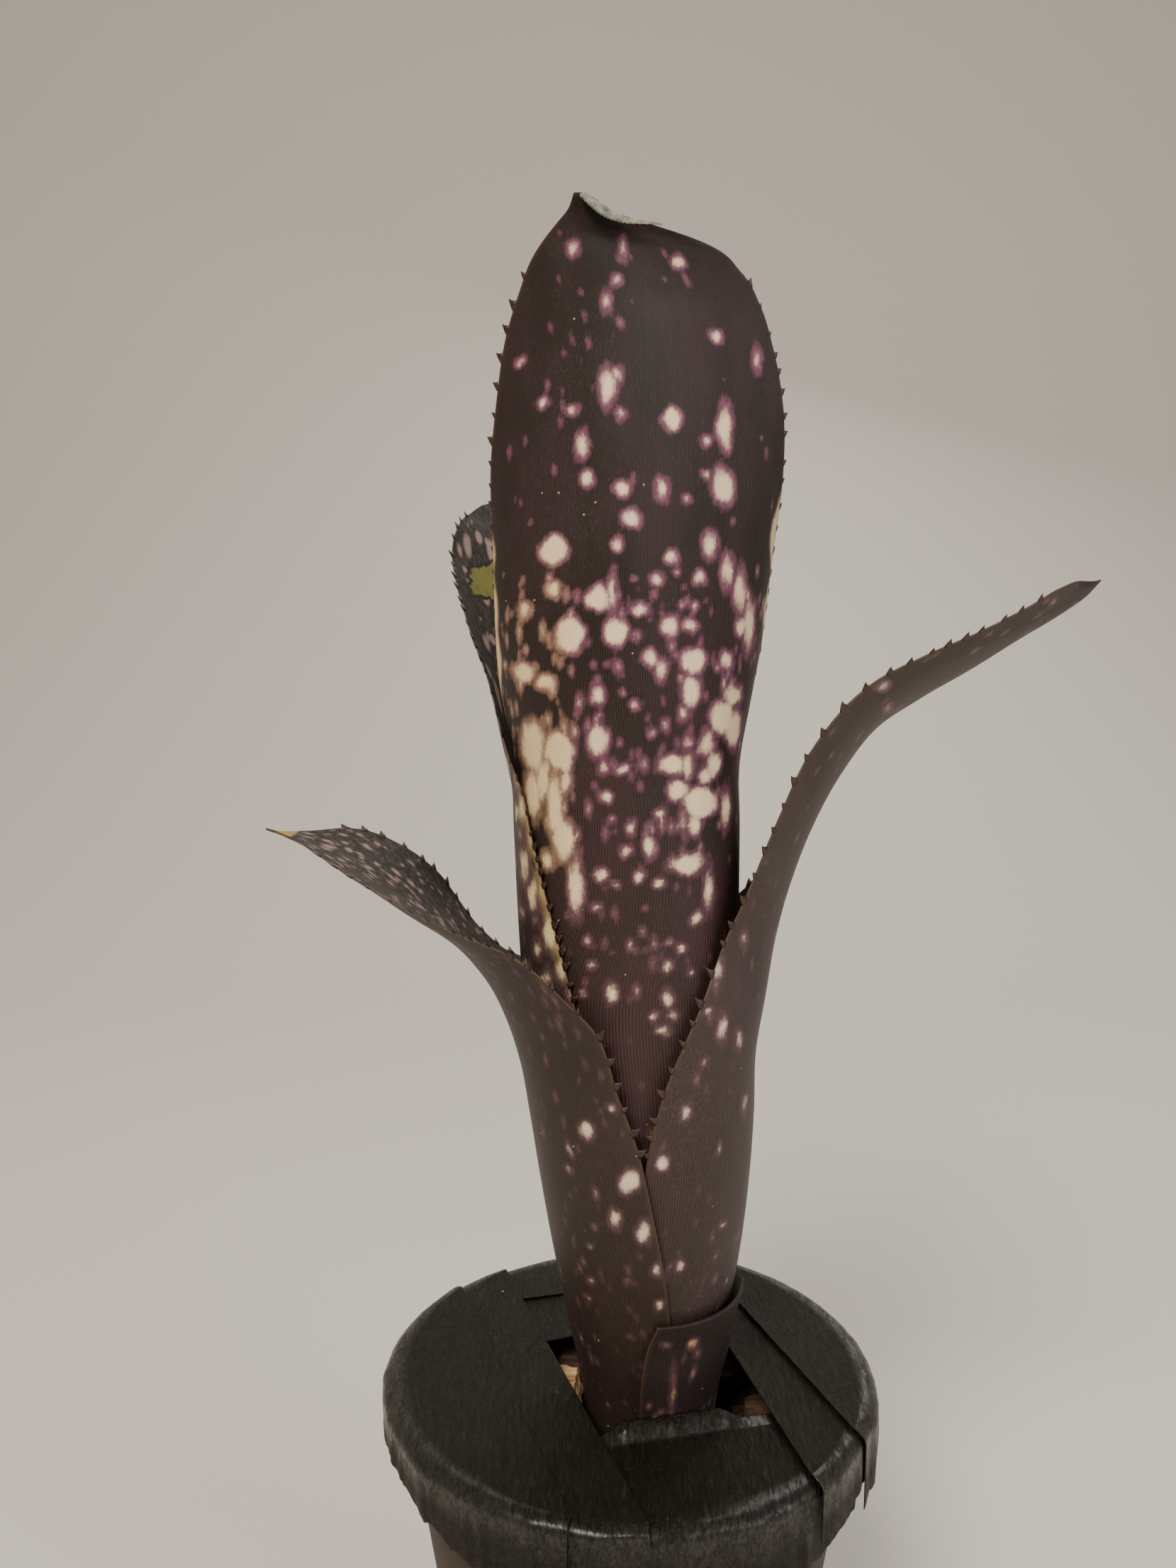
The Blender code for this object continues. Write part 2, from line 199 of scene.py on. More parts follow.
def grid_piece(name, rows, columns):
    """A flat grid, and for each vertex its row and column."""
    clear_selection()
    bpy.ops.mesh.primitive_grid_add(x_subdivisions=columns - 1, y_subdivisions=rows - 1, size=1.0)
    piece = start_piece(name)
    at = vertex_array(piece) * MM
    column = np.rint((at[:, 0] + 0.5) * (columns - 1)).astype(int)
    row = np.rint((at[:, 1] + 0.5) * (rows - 1)).astype(int)
    return piece, row, column


# ---------------------------------------------------------------- materials


def new_material(name):
    """A material, its node tree and its Principled shader."""
    made = bpy.data.materials.new(name)
    made.use_nodes = True
    return made, made.node_tree, made.node_tree.nodes["Principled BSDF"]


def node(tree, kind, **values):
    """Adds a node. A value named as one of its inputs sets that input; the others are settings."""
    made = tree.nodes.new("ShaderNode" + kind)
    for name, value in values.items():
        if name in made.inputs:
            made.inputs[name].default_value = value
        else:
            setattr(made, name, value)
    return made


def math_node(tree, operation, a, b=None, c=None):
    """A Math node whose inputs are numbers or sockets."""
    made = node(tree, "Math", operation=operation)
    for socket, value in zip(made.inputs, (a, b, c)):
        if isinstance(value, (int, float)):
            socket.default_value = value
        elif value is not None:
            tree.links.new(value, socket)
    return made.outputs[0]


def mix_colour(tree, share, a, b):
    """Mixes two colours, each a tuple or a socket, by a share."""
    made = node(tree, "Mix", data_type="RGBA", clamp_factor=True)
    for socket, value in ((made.inputs[0], share), (made.inputs[6], a), (made.inputs[7], b)):
        if isinstance(value, tuple):
            socket.default_value = value
        else:
            tree.links.new(value, socket)
    return made.outputs[2]


def ramp(tree, fac, stops):
    """A soft ramp of greys from (position, grey) pairs."""
    made = node(tree, "ValToRGB")
    made.color_ramp.interpolation = "EASE"
    while len(made.color_ramp.elements) < len(stops):
        made.color_ramp.elements.new(0.5)
    for element, (position, grey) in zip(made.color_ramp.elements, stops):
        element.position = position
        element.color = (grey, grey, grey, 1.0)
    tree.links.new(fac, made.inputs[0])
    return made.outputs[0]


def texture(tree, vector, scale, detail=3.0, rough=0.55, distortion=0.0):
    """Noise on a vector socket, as a number from 0 to 1."""
    made = node(tree, "TexNoise", Scale=scale, Detail=detail, Roughness=rough, Distortion=distortion)
    tree.links.new(vector, made.inputs["Vector"])
    return made.outputs["Fac"]


def object_place(tree, stretch=(1.0, 1.0, 1.0), turn=(0.0, 0.0, 0.0)):
    """Object coordinates in metres, turned and stretched."""
    coords = node(tree, "TexCoord")
    mapping = node(tree, "Mapping", Scale=stretch, Rotation=turn)
    tree.links.new(coords.outputs["Object"], mapping.inputs["Vector"])
    return mapping.outputs[0]


def surface_value(tree, name):
    """A number kept on the vertices."""
    return node(tree, "Attribute", attribute_name=name).outputs["Fac"]


def bump(tree, shader, height, distance, strength=1.0):
    """Relief from a height socket, distance metres deep."""
    made = node(tree, "Bump", Strength=strength, Distance=distance)
    tree.links.new(height, made.inputs["Height"])
    tree.links.new(made.outputs[0], shader.inputs["Normal"])


def new_group(name, **inputs):
    """A shader node group that takes numbers and gives a mask, and its input and output nodes."""
    group = bpy.data.node_groups.new(name, "ShaderNodeTree")
    for socket, value in inputs.items():
        made = group.interface.new_socket(socket, in_out="INPUT", socket_type="NodeSocketFloat")
        made.default_value = value
    group.interface.new_socket("Mask", in_out="OUTPUT", socket_type="NodeSocketFloat")
    return group, group.nodes.new("NodeGroupInput"), group.nodes.new("NodeGroupOutput")


def veins_group():
    """Fine lines that run the length of a leaf: a mask, one on a line and zero between."""
    group, given, result = new_group("leaf veins", Lines=120.0)
    uv = node(group, "UVMap", uv_map="UVMap")
    split = node(group, "SeparateXYZ")
    group.links.new(uv.outputs[0], split.inputs[0])
    wander = texture(group, object_place(group, (1, 1, 0.12)), 160.0, 3.0)
    across = math_node(group, "MULTIPLY", split.outputs["X"], given.outputs["Lines"])
    across = math_node(group, "ADD", across, math_node(group, "MULTIPLY", wander, 3.0))
    wave = math_node(group, "SINE", math_node(group, "MULTIPLY", across, 2 * math.pi))
    wave = math_node(group, "MULTIPLY_ADD", wave, 0.5, 0.5)
    group.links.new(wave, result.inputs["Mask"])
    return group


def scurf_group():
    """Powdery pale scales on a leaf: fine grain, thicker in soft patches."""
    group, given, result = new_group("leaf scurf", Amount=0.5)
    grain = texture(group, object_place(group, (1, 1, 0.45)), 2600.0, 2.0, 0.7)
    patch = texture(group, object_place(group, (1, 1, 0.5)), 70.0, 3.0)
    mask = ramp(group, grain, [(0.50, 0.0), (0.74, 1.0)])
    cover = ramp(group, patch, [(0.30, 0.25), (0.72, 1.0)])
    total = math_node(group, "MULTIPLY", mask, cover)
    total = math_node(group, "MULTIPLY", total, given.outputs["Amount"])
    group.links.new(total, result.inputs["Mask"])
    return group


def dust_group():
    """Small bright specks of dust, far apart."""
    group, given, result = new_group("dust specks", Scale=160.0, Size=0.06)
    cells = node(group, "TexVoronoi", feature="F1")
    group.links.new(object_place(group), cells.inputs["Vector"])
    group.links.new(given.outputs["Scale"], cells.inputs["Scale"])
    near = math_node(group, "LESS_THAN", cells.outputs["Distance"], given.outputs["Size"])
    thin = math_node(group, "GREATER_THAN", texture(group, object_place(group), 45.0, 2.0), 0.52)
    group.links.new(math_node(group, "MULTIPLY", near, thin), result.inputs["Mask"])
    return group


VEINS = veins_group()
SCURF = scurf_group()
DUST = dust_group()


def use_group(tree, group, **values):
    """Places a shared effect in a material."""
    made = tree.nodes.new("ShaderNodeGroup")
    made.node_tree = group
    for name, value in values.items():
        made.inputs[name].default_value = value
    return made.outputs[0]


def leaf_skin(name, dark, lower, spot, halo, scurf_colour, lines, scurf, rough=0.46):
    """The outer skin of a leaf: dark ground, soft pale spots with mauve edges, veins and scurf.

    The colours are display colours, lines counts the veins, and scurf is how much of it there is.
    """
    made, tree, shader = new_material(name)
    dark, lower, spot, halo, scurf_colour = (rgb(*c) for c in (dark, lower, spot, halo, scurf_colour))
    height = surface_value(tree, "height")
    ground = mix_colour(tree, height, lower, dark)
    patches = texture(tree, object_place(tree, (1, 1, 0.4)), 60.0, 4.0)
    blotch = ramp(tree, patches, [(0.35, 0.0), (0.7, 1.0)])
    ground = mix_colour(tree, math_node(tree, "MULTIPLY", blotch, 0.08), ground, halo)
    veins = use_group(tree, VEINS, Lines=lines)
    ground = mix_colour(tree, math_node(tree, "MULTIPLY", veins, 0.20), ground, scurf_colour)
    field = surface_value(tree, "spots")
    for scale, detail, roughness, reach in ((620.0, 4.0, 0.7, 0.16), (1900.0, 2.0, 0.6, 0.10)):
        ragged = texture(tree, object_place(tree, (1, 1, 0.55)), scale, detail, roughness)
        ragged = math_node(tree, "MULTIPLY", math_node(tree, "SUBTRACT", ragged, 0.5), reach)
        field = math_node(tree, "ADD", field, ragged)
    edge = ramp(tree, field, [(0.39, 0.0), (0.51, 0.65), (0.59, 1.0)])
    core = ramp(tree, field, [(0.49, 0.0), (0.66, 1.0)])
    tint = mix_colour(tree, core, mix_colour(tree, height, rgb(88, 60, 66), halo), spot)
    yellow = math_node(tree, "MULTIPLY", surface_value(tree, "yellow"), 0.85)
    tint = mix_colour(tree, yellow, tint, rgb(204, 178, 96))
    grain = use_group(tree, SCURF, Amount=scurf)
    worn = ramp(tree, texture(tree, object_place(tree), 420.0, 2.0), [(0.74, 0.0), (0.80, 0.7)])
    colour = ground
    for share, over in (
        (edge, tint),
        (grain, scurf_colour),
        (surface_value(tree, "margin"), rgb(84, 62, 46)),
        (worn, rgb(96, 66, 44)),
        (use_group(tree, DUST, Scale=230.0, Size=0.045), rgb(176, 168, 156)),
    ):
        colour = mix_colour(tree, share, colour, over)
    tree.links.new(colour, shader.inputs["Base Color"])
    tree.links.new(math_node(tree, "MULTIPLY_ADD", grain, 0.25, rough), shader.inputs["Roughness"])
    shader.inputs["Specular IOR Level"].default_value = 0.24
    relief = math_node(tree, "ADD", veins, math_node(tree, "MULTIPLY", grain, 0.6))
    bump(tree, shader, relief, 0.00007, 0.8)
    return made


def leaf_lining(name, dark, pale, lines):
    """The inner face of a leaf: grey with dense fine streaks of scurf."""
    made, tree, shader = new_material(name)
    veins = use_group(tree, VEINS, Lines=lines)
    streak = texture(tree, object_place(tree, (1, 1, 0.2)), 900.0, 3.0, 0.7)
    mask = ramp(tree, streak, [(0.42, 0.0), (0.68, 1.0)])
    mask = math_node(tree, "MULTIPLY", mask, math_node(tree, "MULTIPLY_ADD", veins, 0.6, 0.4))
    edge = ramp(tree, surface_value(tree, "spots"), [(0.42, 0.0), (0.54, 0.75)])
    tint = mix_colour(tree, surface_value(tree, "yellow"), rgb(170, 140, 134), rgb(214, 176, 62))
    scar = surface_value(tree, "scar")
    rim = ramp(tree, scar, [(0.40, 0.0), (0.47, 1.0), (0.53, 1.0), (0.58, 0.0)])
    inside = ramp(tree, scar, [(0.50, 0.0), (0.56, 1.0)])
    olive = mix_colour(tree, streak, rgb(78, 78, 30), rgb(142, 134, 62))
    colour = mix_colour(tree, mask, dark, pale)
    for share, over in ((edge, tint), (inside, olive), (rim, rgb(34, 22, 14))):
        colour = mix_colour(tree, share, colour, over)
    tree.links.new(colour, shader.inputs["Base Color"])
    shader.inputs["Roughness"].default_value = 0.62
    shader.inputs["Specular IOR Level"].default_value = 0.25
    bump(tree, shader, veins, 0.00006, 0.8)
    return made


def plain_finish(name, dark, light, scale, rough, stretch=(1, 1, 1), depth=0.0, detail=4.0):
    """A finish that wanders between two tones, with relief of the given depth in metres."""
    made, tree, shader = new_material(name)
    field = texture(tree, object_place(tree, stretch), scale, detail, 0.6)
    share = ramp(tree, field, [(0.3, 0.0), (0.72, 1.0)])
    tree.links.new(mix_colour(tree, share, dark, light), shader.inputs["Base Color"])
    shader.inputs["Roughness"].default_value = rough
    if depth:
        bump(tree, shader, field, depth)
    return made


def tape_finish(name, turn):
    """Matt black tape: fine creases across its length with painted highlight on their ridges, faint bloom
    and dust.
    """
    made, tree, shader = new_material(name)
    facing = (0.0, 0.0, -turn)
    creases = texture(tree, object_place(tree, (1.7, 0.42, 1.0), facing), 520.0, 4.0, 0.62, 1.2)
    broad = texture(tree, object_place(tree, (0.5, 1.2, 1.0), facing), 60.0, 3.0)
    fine = texture(tree, object_place(tree), 1900.0, 3.0, 0.7)
    colour = rgb(10, 9, 5)
    for share, over in (
        # painted highlight: the crease ridges are coloured lighter and warm, palest on their crests, where
        # light catches the wrinkles
        (ramp(tree, creases, [(0.44, 0.0), (0.66, 1.0)]), rgb(24, 21, 13)),
        (ramp(tree, creases, [(0.63, 0.0), (0.70, 0.5)]), rgb(70, 58, 40)),
        (ramp(tree, broad, [(0.4, 0.0), (0.75, 0.35)]), rgb(32, 29, 19)),
        (use_group(tree, DUST, Scale=120.0, Size=0.045), rgb(206, 202, 190)),
    ):
        colour = mix_colour(tree, share, colour, over)
    tree.links.new(colour, shader.inputs["Base Color"])
    pulled = surface_value(tree, "pulled")
    rough = math_node(tree, "MULTIPLY_ADD", broad, 0.22, 0.42)
    rough = math_node(tree, "SUBTRACT", rough, math_node(tree, "MULTIPLY", pulled, 0.25))
    tree.links.new(rough, shader.inputs["Roughness"])
    broken = ramp(tree, creases, [(0.36, 0.08), (0.62, 0.62)])
    tree.links.new(math_node(tree, "MULTIPLY", pulled, broken), shader.inputs["Coat Weight"])
    shader.inputs["Coat Roughness"].default_value = 0.30
    shader.inputs["Specular IOR Level"].default_value = 0.24
    shader.inputs["Specular Tint"].default_value = (1.0, 0.92, 0.78, 1.0)
    relief = math_node(tree, "ADD", creases, math_node(tree, "MULTIPLY", fine, 0.35))
    bump(tree, shader, relief, 0.0011)
    return made


def pot_finish():
    """Brown moulded plastic, rubbed and dusty."""
    made, tree, shader = new_material("brown pot plastic")
    rubbed = ramp(tree, texture(tree, object_place(tree), 26.0, 5.0), [(0.3, 0.0), (0.7, 1.0)])
    colour = mix_colour(tree, rubbed, rgb(46, 32, 21), rgb(60, 43, 29))
    fine = texture(tree, object_place(tree), 1500.0, 2.0, 0.7)
    dust = texture(tree, object_place(tree, (1, 1, 0.5)), 190.0, 5.0, 0.7)
    dust = ramp(tree, dust, [(0.55, 0.0), (0.8, 0.25)])
    colour = mix_colour(tree, dust, colour, rgb(120, 100, 78))
    tree.links.new(colour, shader.inputs["Base Color"])
    tree.links.new(math_node(tree, "MULTIPLY_ADD", dust, 0.5, 0.55), shader.inputs["Roughness"])
    shader.inputs["Specular IOR Level"].default_value = 0.16
    bump(tree, shader, fine, 0.00004, 0.6)
    return made


# ---------------------------------------------------------------- leaves

# Height above the rim, sideways lean of the tube's axis, radius of the outermost leaf.
TUBE = [
    (-34, 5.0, 12.6),
    (-18, 5.0, 13.4),
    (-5, 4.5, 14.0),
    (0, 4.2, 15.2),
    (4, 4.1, 16.4),
    (10, 4.1, 17.8),
    (20, 4.4, 19.4),
    (30, 4.8, 21.8),
    (44, 4.5, 24.2),
    (62, 3.8, 26.3),
    (79, 2.7, 27.9),
    (97, 0.8, 28.7),
    (115, 0.1, 29.1),
    (140, -0.4, 29.6),
    (150, -0.8, 29.8),
    (165, -1.0, 30.6),
]


def tube_at(height):
    """Axis x and outermost radius of the rolled tube at a height above the rim."""
    heights, leans, radii = zip(*TUBE)
    return np.interp(height, heights, leans), np.interp(height, heights, radii)


def rolled(height, layer, azimuth, left, right, ease=0.0):
    """A place on the tube: a level arc round the axis, reaching left and right degrees from the midrib."""
    lean, radius = tube_at(height)
    radius -= layer * LAYER
    out = math.radians(azimuth)
    return (
        lean + (radius + ease) * math.cos(out),
        AXIS_Y + (radius + ease) * math.sin(out),
        RIM + height,
        0.0,
        radius,
        radius * math.radians(left),
        radius * math.radians(right),
        0.0,
    )


def free(x, y, height, roll, radius, left, right, lean=1.0):
    """A place on the free blade: midrib point, roll, channel radius, and arc widths to both margins."""
    return (x, y, RIM + height, roll, radius, left, right, lean)


FRONT_LEAF = [
    rolled(-26, 3, 270, 150, 150),
    rolled(0, 3, 270, 152, 152),
    rolled(40, 3, 270, 152, 152),
    rolled(77, 3, 270, 150, 150),
    rolled(100, 3, 270, 138, 142),
    rolled(120, 3, 270, 112, 132),
    rolled(136, 3, 270, 99, 122),
    rolled(150, 3, 270, 90, 108),
    free(-1.2, -33.2, 163, 0, 27.8, 40.5, 46, 0.0),
    free(-1.2, -34.2, 178, 0, 31.0, 38.0, 42.5, 0.0),
    free(-0.8, -34.6, 195, 0, 34.5, 36.8, 40.3, 0.0),
    free(-0.2, -34.6, 213, 0, 38.0, 35.7, 39.1, 0.0),
    free(-0.6, -34.4, 228, 0, 41.0, 31.5, 37.1, 0.0),
    free(-2.6, -34.2, 240, 0, 44.0, 25.9, 35.6, 0.0),
    free(-5.2, -34.4, 248, 0, 46.0, 19.5, 35.0, 0.0),
    free(-7.8, -35.0, 254, 0, 48.0, 13.6, 32.0, 0.0),
    free(-9.6, -35.4, 258, 0, 48.0, 8.4, 25.0, 0.0),
    free(-10.4, -35.8, 260, 0, 44.0, 5.6, 13.5, 0.0),
    free(-11.1, -36.1, 262, 0, 36.0, 3.0, 5.5, 0.0),
    free(-12.0, -36.8, 265, 0, 20.0, 0.8, 0.8, 0.0),
]

BACK_LEAF = [
    rolled(-26, 2, 125, 150, 150),
    rolled(0, 2, 125, 148, 150),
    rolled(40, 2, 125, 140, 142),
    rolled(77, 2, 125, 126, 126),
    rolled(95, 2, 125, 114, 115),
    rolled(108, 2, 125, 104, 107),
    rolled(123, 2, 125, 94, 97),
    rolled(135, 2, 125, 86, 89),
    rolled(146, 2, 125, 77, 79),
    free(-16.9, 17.0, 154, 0, 29.5, 33, 33, 0.4),
    free(-19.2, 21.4, 167, 0, 37.0, 30, 30.5),
    free(-21.6, 26.0, 178, 0, 47.0, 28, 29),
    free(-24.0, 31.4, 189, 0, 58.0, 26.5, 28),
    free(-26.4, 37.0, 198, 0, 60.0, 23, 25),
    free(-28.0, 42.0, 204.5, 0, 60.0, 19, 19.5),
    free(-29.4, 46.6, 209.5, 0, 50.0, 13, 13),
    free(-30.4, 50.6, 212.5, 0, 40.0, 7, 7),
    free(-31.0, 53.6, 213.8, 0, 20.0, 0.8, 0.8),
]

RIGHT_LEAF = [
    rolled(-26, 1, 0, 118, 130),
    rolled(0, 1, 0, 112, 125),
    rolled(30, 1, 0, 104, 118),
    rolled(53, 1, 0, 96, 108),
    rolled(69, 1, 0, 90, 98),
    rolled(83, 1, 0, 80, 88, 0.2),
    free(31.4, AXIS_Y, 97, -2, 26.4, 31.2, 33, 0.5),
    free(33.9, AXIS_Y, 110.5, -9, 28.0, 25.2, 27),
    free(37.1, AXIS_Y, 122.5, -14, 36.0, 22.7, 23),
    free(41.5, AXIS_Y, 134.5, -15, 36.0, 21.5, 21.5),
    free(48.5, AXIS_Y, 148, -15, 35.0, 21.8, 21.8),
    free(56.9, AXIS_Y, 159, -15, 35.8, 20.9, 20.9),
    free(66.5, AXIS_Y, 165.6, -15, 34.5, 19.2, 19.2),
    free(79.3, AXIS_Y, 173.1, -15, 32.0, 16.2, 16.2),
    free(90.0, AXIS_Y, 179.8, -15, 25.0, 12.7, 12.7),
    free(98.4, AXIS_Y, 184.8, -15, 14.0, 10.0, 10),
    free(103.6, AXIS_Y, 188.4, -15, 9.0, 6.6, 6.6),
    free(107.2, AXIS_Y, 191.8, -15, 8.0, 0.8, 0.8),
]

LEFT_LEAF = [
    rolled(-26, 0, 187, 130, 116),
    rolled(0, 0, 187, 125, 105),
    rolled(24, 0, 187, 118, 94),
    rolled(37, 0, 187, 110, 89),
    rolled(53, 0, 187, 100, 83),
    rolled(69, 0, 187, 90, 77),
    rolled(80, 0, 187, 80, 71, 0.2),
    free(-28.6, -9.4, 90.5, 3, 30.0, 33, 32.5, 0.6),
    free(-32.6, -9.8, 99.0, 8, 37.0, 26, 26.0),
    free(-36.4, -10.2, 104.2, 7, 41.0, 24, 23.5),
    free(-42.4, -10.8, 110.8, 0, 50.0, 22.0, 21.8),
    free(-50.0, -11.6, 117.6, -9, 42.0, 19.5, 19.5),
    free(-58.0, -12.4, 124.6, -14, 44.0, 17.0, 17.0),
    free(-66.5, -13.2, 129.9, -14, 40.0, 14.0, 14.0),
    free(-73.5, -13.8, 132.8, -9, 34.0, 9.5, 9.5),
    free(-79.0, -14.2, 134.6, -5, 24.0, 5, 5),
    free(-82.6, -14.4, 135.8, 0, 16.0, 0.8, 0.8),
]

OLD_SHEATH = [
    rolled(-26, -1, 340, 80, 140),
    rolled(-10, -1, 340, 79, 130),
    rolled(2, -1, 340, 78, 110),
    rolled(12, -1, 340, 76, 84),
    rolled(20, -1, 340, 73, 56),
    rolled(26, -1, 340, 68, 20),
]


def resample(stations, rows):
    """The stations joined by a smooth curve, read at rows places that crowd a little towards the tip."""
    table = np.array(stations, float)
    steps = np.linalg.norm(np.diff(table[:, :3], axis=0), axis=1)
    along = np.concatenate([[0.0], np.cumsum(steps)])
    slopes = np.gradient(table, along, axis=0)
    share = np.linspace(0.0, 1.0, rows)
    wanted = along[-1] * (0.6 * share + 0.4 * np.sin(share * math.pi / 2))
    low = np.clip(np.searchsorted(along, wanted) - 1, 0, len(along) - 2)
    span = (along[low + 1] - along[low])[:, None]
    t = (wanted - along[low])[:, None] / span
    return (
        (2 * t**3 - 3 * t**2 + 1) * table[low]
        + (t**3 - 2 * t**2 + t) * span * slopes[low]
        + (3 * t**2 - 2 * t**3) * table[low + 1]
        + (t**3 - t**2) * span * slopes[low + 1]
    )


def leaf_surface(stations, azimuth, rows, columns):
    """Points, outward normals and across distances on a leaf's middle surface, row by row."""
    table = resample(stations, rows)
    path = table[:, :3]
    tangents = np.gradient(path, axis=0)
    tangents /= np.linalg.norm(tangents, axis=1)[:, None]
    out = np.array([math.cos(math.radians(azimuth)), math.sin(math.radians(azimuth)), 0.0])
    points = np.empty((rows, columns, 3))
    outward = np.empty((rows, columns, 3))
    across_mm = np.empty((rows, columns))
    for i, (x, y, z, roll, radius, left, right, lean) in enumerate(table):
        up = np.array([0.0, 0.0, 1.0]) * (1 - lean) + tangents[i] * lean
        up /= np.linalg.norm(up)
        normal = out - out.dot(up) * up
        normal /= np.linalg.norm(normal)
        across = np.cross(up, normal)
        turn = math.radians(roll)
        normal, across = (
            normal * math.cos(turn) + across * math.sin(turn),
            across * math.cos(turn) - normal * math.sin(turn),
        )
        lengths = np.linspace(-left, right, columns)
        angles = (lengths / radius)[:, None]
        points[i] = np.array([x, y, z]) + radius * np.sin(angles) * across
        points[i] -= radius * (1 - np.cos(angles)) * normal
        outward[i] = np.cos(angles) * normal + np.sin(angles) * across
        across_mm[i] = lengths
    steps = np.linalg.norm(np.diff(path, axis=0), axis=1)
    along_mm = np.concatenate([[0.0], np.cumsum(steps)])
    return points, outward, across_mm, along_mm


# Spots seen on the front of the leaves: x, height above the rim, half width, half height.
FRONT_SPOTS = [
    (-13, 255, 1.2, 1.2), (-3, 255, 0.8, 1.6), (8, 253, 1.5, 1.5), (-4, 249, 1.0, 1.0),
    (-6, 245, 1.0, 2.1), (16, 239, 1.5, 1.5), (25, 236, 1.0, 2.6), (-24, 235, 1.0, 1.0),
    (-6, 228, 1.8, 4.0), (-4, 231, 1.2, 1.5), (-19, 226, 1.4, 1.4), (-13, 224, 1.2, 1.2),
    (-3, 223, 1.0, 1.0), (7, 222, 2.2, 2.2), (18, 221, 1.8, 4.7), (14, 218, 1.1, 1.0),
    (-11, 217, 1.3, 2.9), (-10, 210, 1.5, 1.5), (-3, 208, 1.8, 1.8), (5, 208, 1.5, 2.2),
    (18, 209, 2.6, 4.0), (14, 211, 1.0, 1.0), (-1, 202, 2.1, 2.1), (10, 206, 0.9, 0.9),
    (-17, 196, 3.1, 3.2), (-4, 197, 1.2, 1.3), (7, 194, 1.5, 1.7), (15, 197, 1.8, 3.0),
    (4, 190, 1.4, 1.3), (13, 190, 1.5, 1.5), (-5, 187, 1.1, 3.8), (-17, 188, 1.6, 1.6),
    (-8, 186, 2.6, 2.6), (0.7, 183.7, 2.0, 1.6), (-23.3, 184, 1.5, 1.8), (9.3, 184.7, 0.9, 0.9),
    (19, 192, 1.5, 3.7), (22, 188, 1.6, 5.0), (24.5, 181, 1.8, 6.0), (6.7, 180.4, 2.0, 2.3),
    (11.2, 180.3, 1.6, 1.6), (-23.5, 171, 2.7, 2.3), (-18.5, 168.5, 2.4, 1.8),
    (-21.7, 155, 3.0, 6.0), (-22, 144, 2.2, 6.0), (-16, 154, 3.6, 4.6), (-14.4, 148, 1.6, 3.0),
    (-17, 142.5, 2.0, 7.0), (-15, 135, 2.5, 5.0), (-12.4, 125, 1.8, 7.0), (-18.5, 130, 1.6, 2.3),
    (-19.5, 148, 2.0, 5.0), (-16.5, 139, 2.0, 4.0), (-7.8, 156.5, 2.5, 3.6), (-6.7, 151, 1.0, 1.4),
    (-2.7, 150.7, 1.6, 1.3), (-7.8, 166, 1.6, 2.3), (-4.3, 179, 2.7, 3.0), (-13.5, 178.5, 3.2, 4.0),
    (2.8, 173.7, 1.8, 1.8), (5, 171.3, 1.4, 2.5), (11.9, 173.5, 3.0, 2.7), (11.4, 167.2, 2.3, 3.6),
    (9.6, 162.6, 1.1, 1.8), (19.1, 173.5, 1.6, 2.3), (22.4, 180.7, 1.6, 2.3), (21.2, 165.9, 2.5, 2.7),
    (18.5, 161.3, 3.2, 3.7), (15.3, 155.9, 1.8, 3.2), (21.6, 158.7, 2.3, 4.6), (6.2, 159.9, 0.9, 1.3),
    (3.1, 158.5, 0.8, 1.0), (-0.3, 164, 1.0, 1.1), (11, 156.5, 1.0, 2.0), (7.6, 151.5, 3.4, 2.3),
    (11, 151.2, 1.4, 2.7), (12.7, 138.8, 1.6, 2.7), (13.6, 130.7, 0.9, 2.3), (-6, 145, 1.5, 1.5),
    (-5, 140, 0.9, 0.9), (-1, 138, 1.2, 1.8), (5, 141, 1.2, 1.2), (9, 146, 2.4, 2.4),
    (14, 143, 4.2, 3.4), (20, 141, 1.5, 4.4), (10, 139, 0.9, 2.1), (3, 134, 1.5, 2.4),
    (-2, 133, 1.3, 1.3), (11, 130, 4.2, 2.4), (-7, 128, 1.6, 1.6), (-4, 126, 0.8, 0.8),
    (1, 128, 1.3, 1.3), (5, 126, 1.3, 1.3), (16, 124, 1.3, 4.6), (13, 118, 1.5, 1.5),
    (-8, 121, 1.2, 1.2), (-10, 113, 1.0, 1.0), (-1, 113, 0.9, 0.9), (10, 112, 1.2, 1.2),
    (7, 108, 1.3, 1.3), (7, 113, 0.9, 0.9), (12, 106, 0.9, 0.9), (-9, 108, 0.9, 0.9),
    (-5, 102, 1.5, 2.5), (7, 101, 1.2, 2.1), (4, 97, 1.2, 1.2), (8, 97, 1.2, 1.2),
    (6, 94, 1.8, 1.2), (-11, 101, 0.9, 0.9), (15, 149, 1.6, 2.2), (17, 151, 2.0, 2.6),
]
LEFT_SPOTS = [
    (-10, 72, 1.8, 2.3), (-1, 61, 2.3, 3.0), (-4, 52, 1.4, 2.3), (2, 49, 1.6, 2.7),
    (-14, 61, 0.9, 0.9), (-5, 78, 0.9, 0.9), (-9, 44, 0.7, 0.7), (-9, 35, 0.7, 0.7),
    (-10, 30, 0.7, 0.7), (-1, 37, 0.7, 0.7), (6, 31, 1.2, 1.2), (5, 40, 1.0, 1.4),
]
RIGHT_SPOTS = [
    (11, 76, 1.1, 1.5), (6, 65, 1.8, 2.2), (20, 47, 0.8, 0.8), (10, 40, 1.2, 1.2),
    (15, 87, 0.9, 0.9), (19, 94, 1.2, 3.0), (23, 90, 1.1, 2.4), (25, 74, 0.8, 2.3),
    (16, 98, 1.1, 1.1), (24, 113, 0.9, 1.8), (18, 107, 1.5, 3.0), (54, 168, 1.5, 0.9),
    (57, 163, 1.1, 0.8),
]
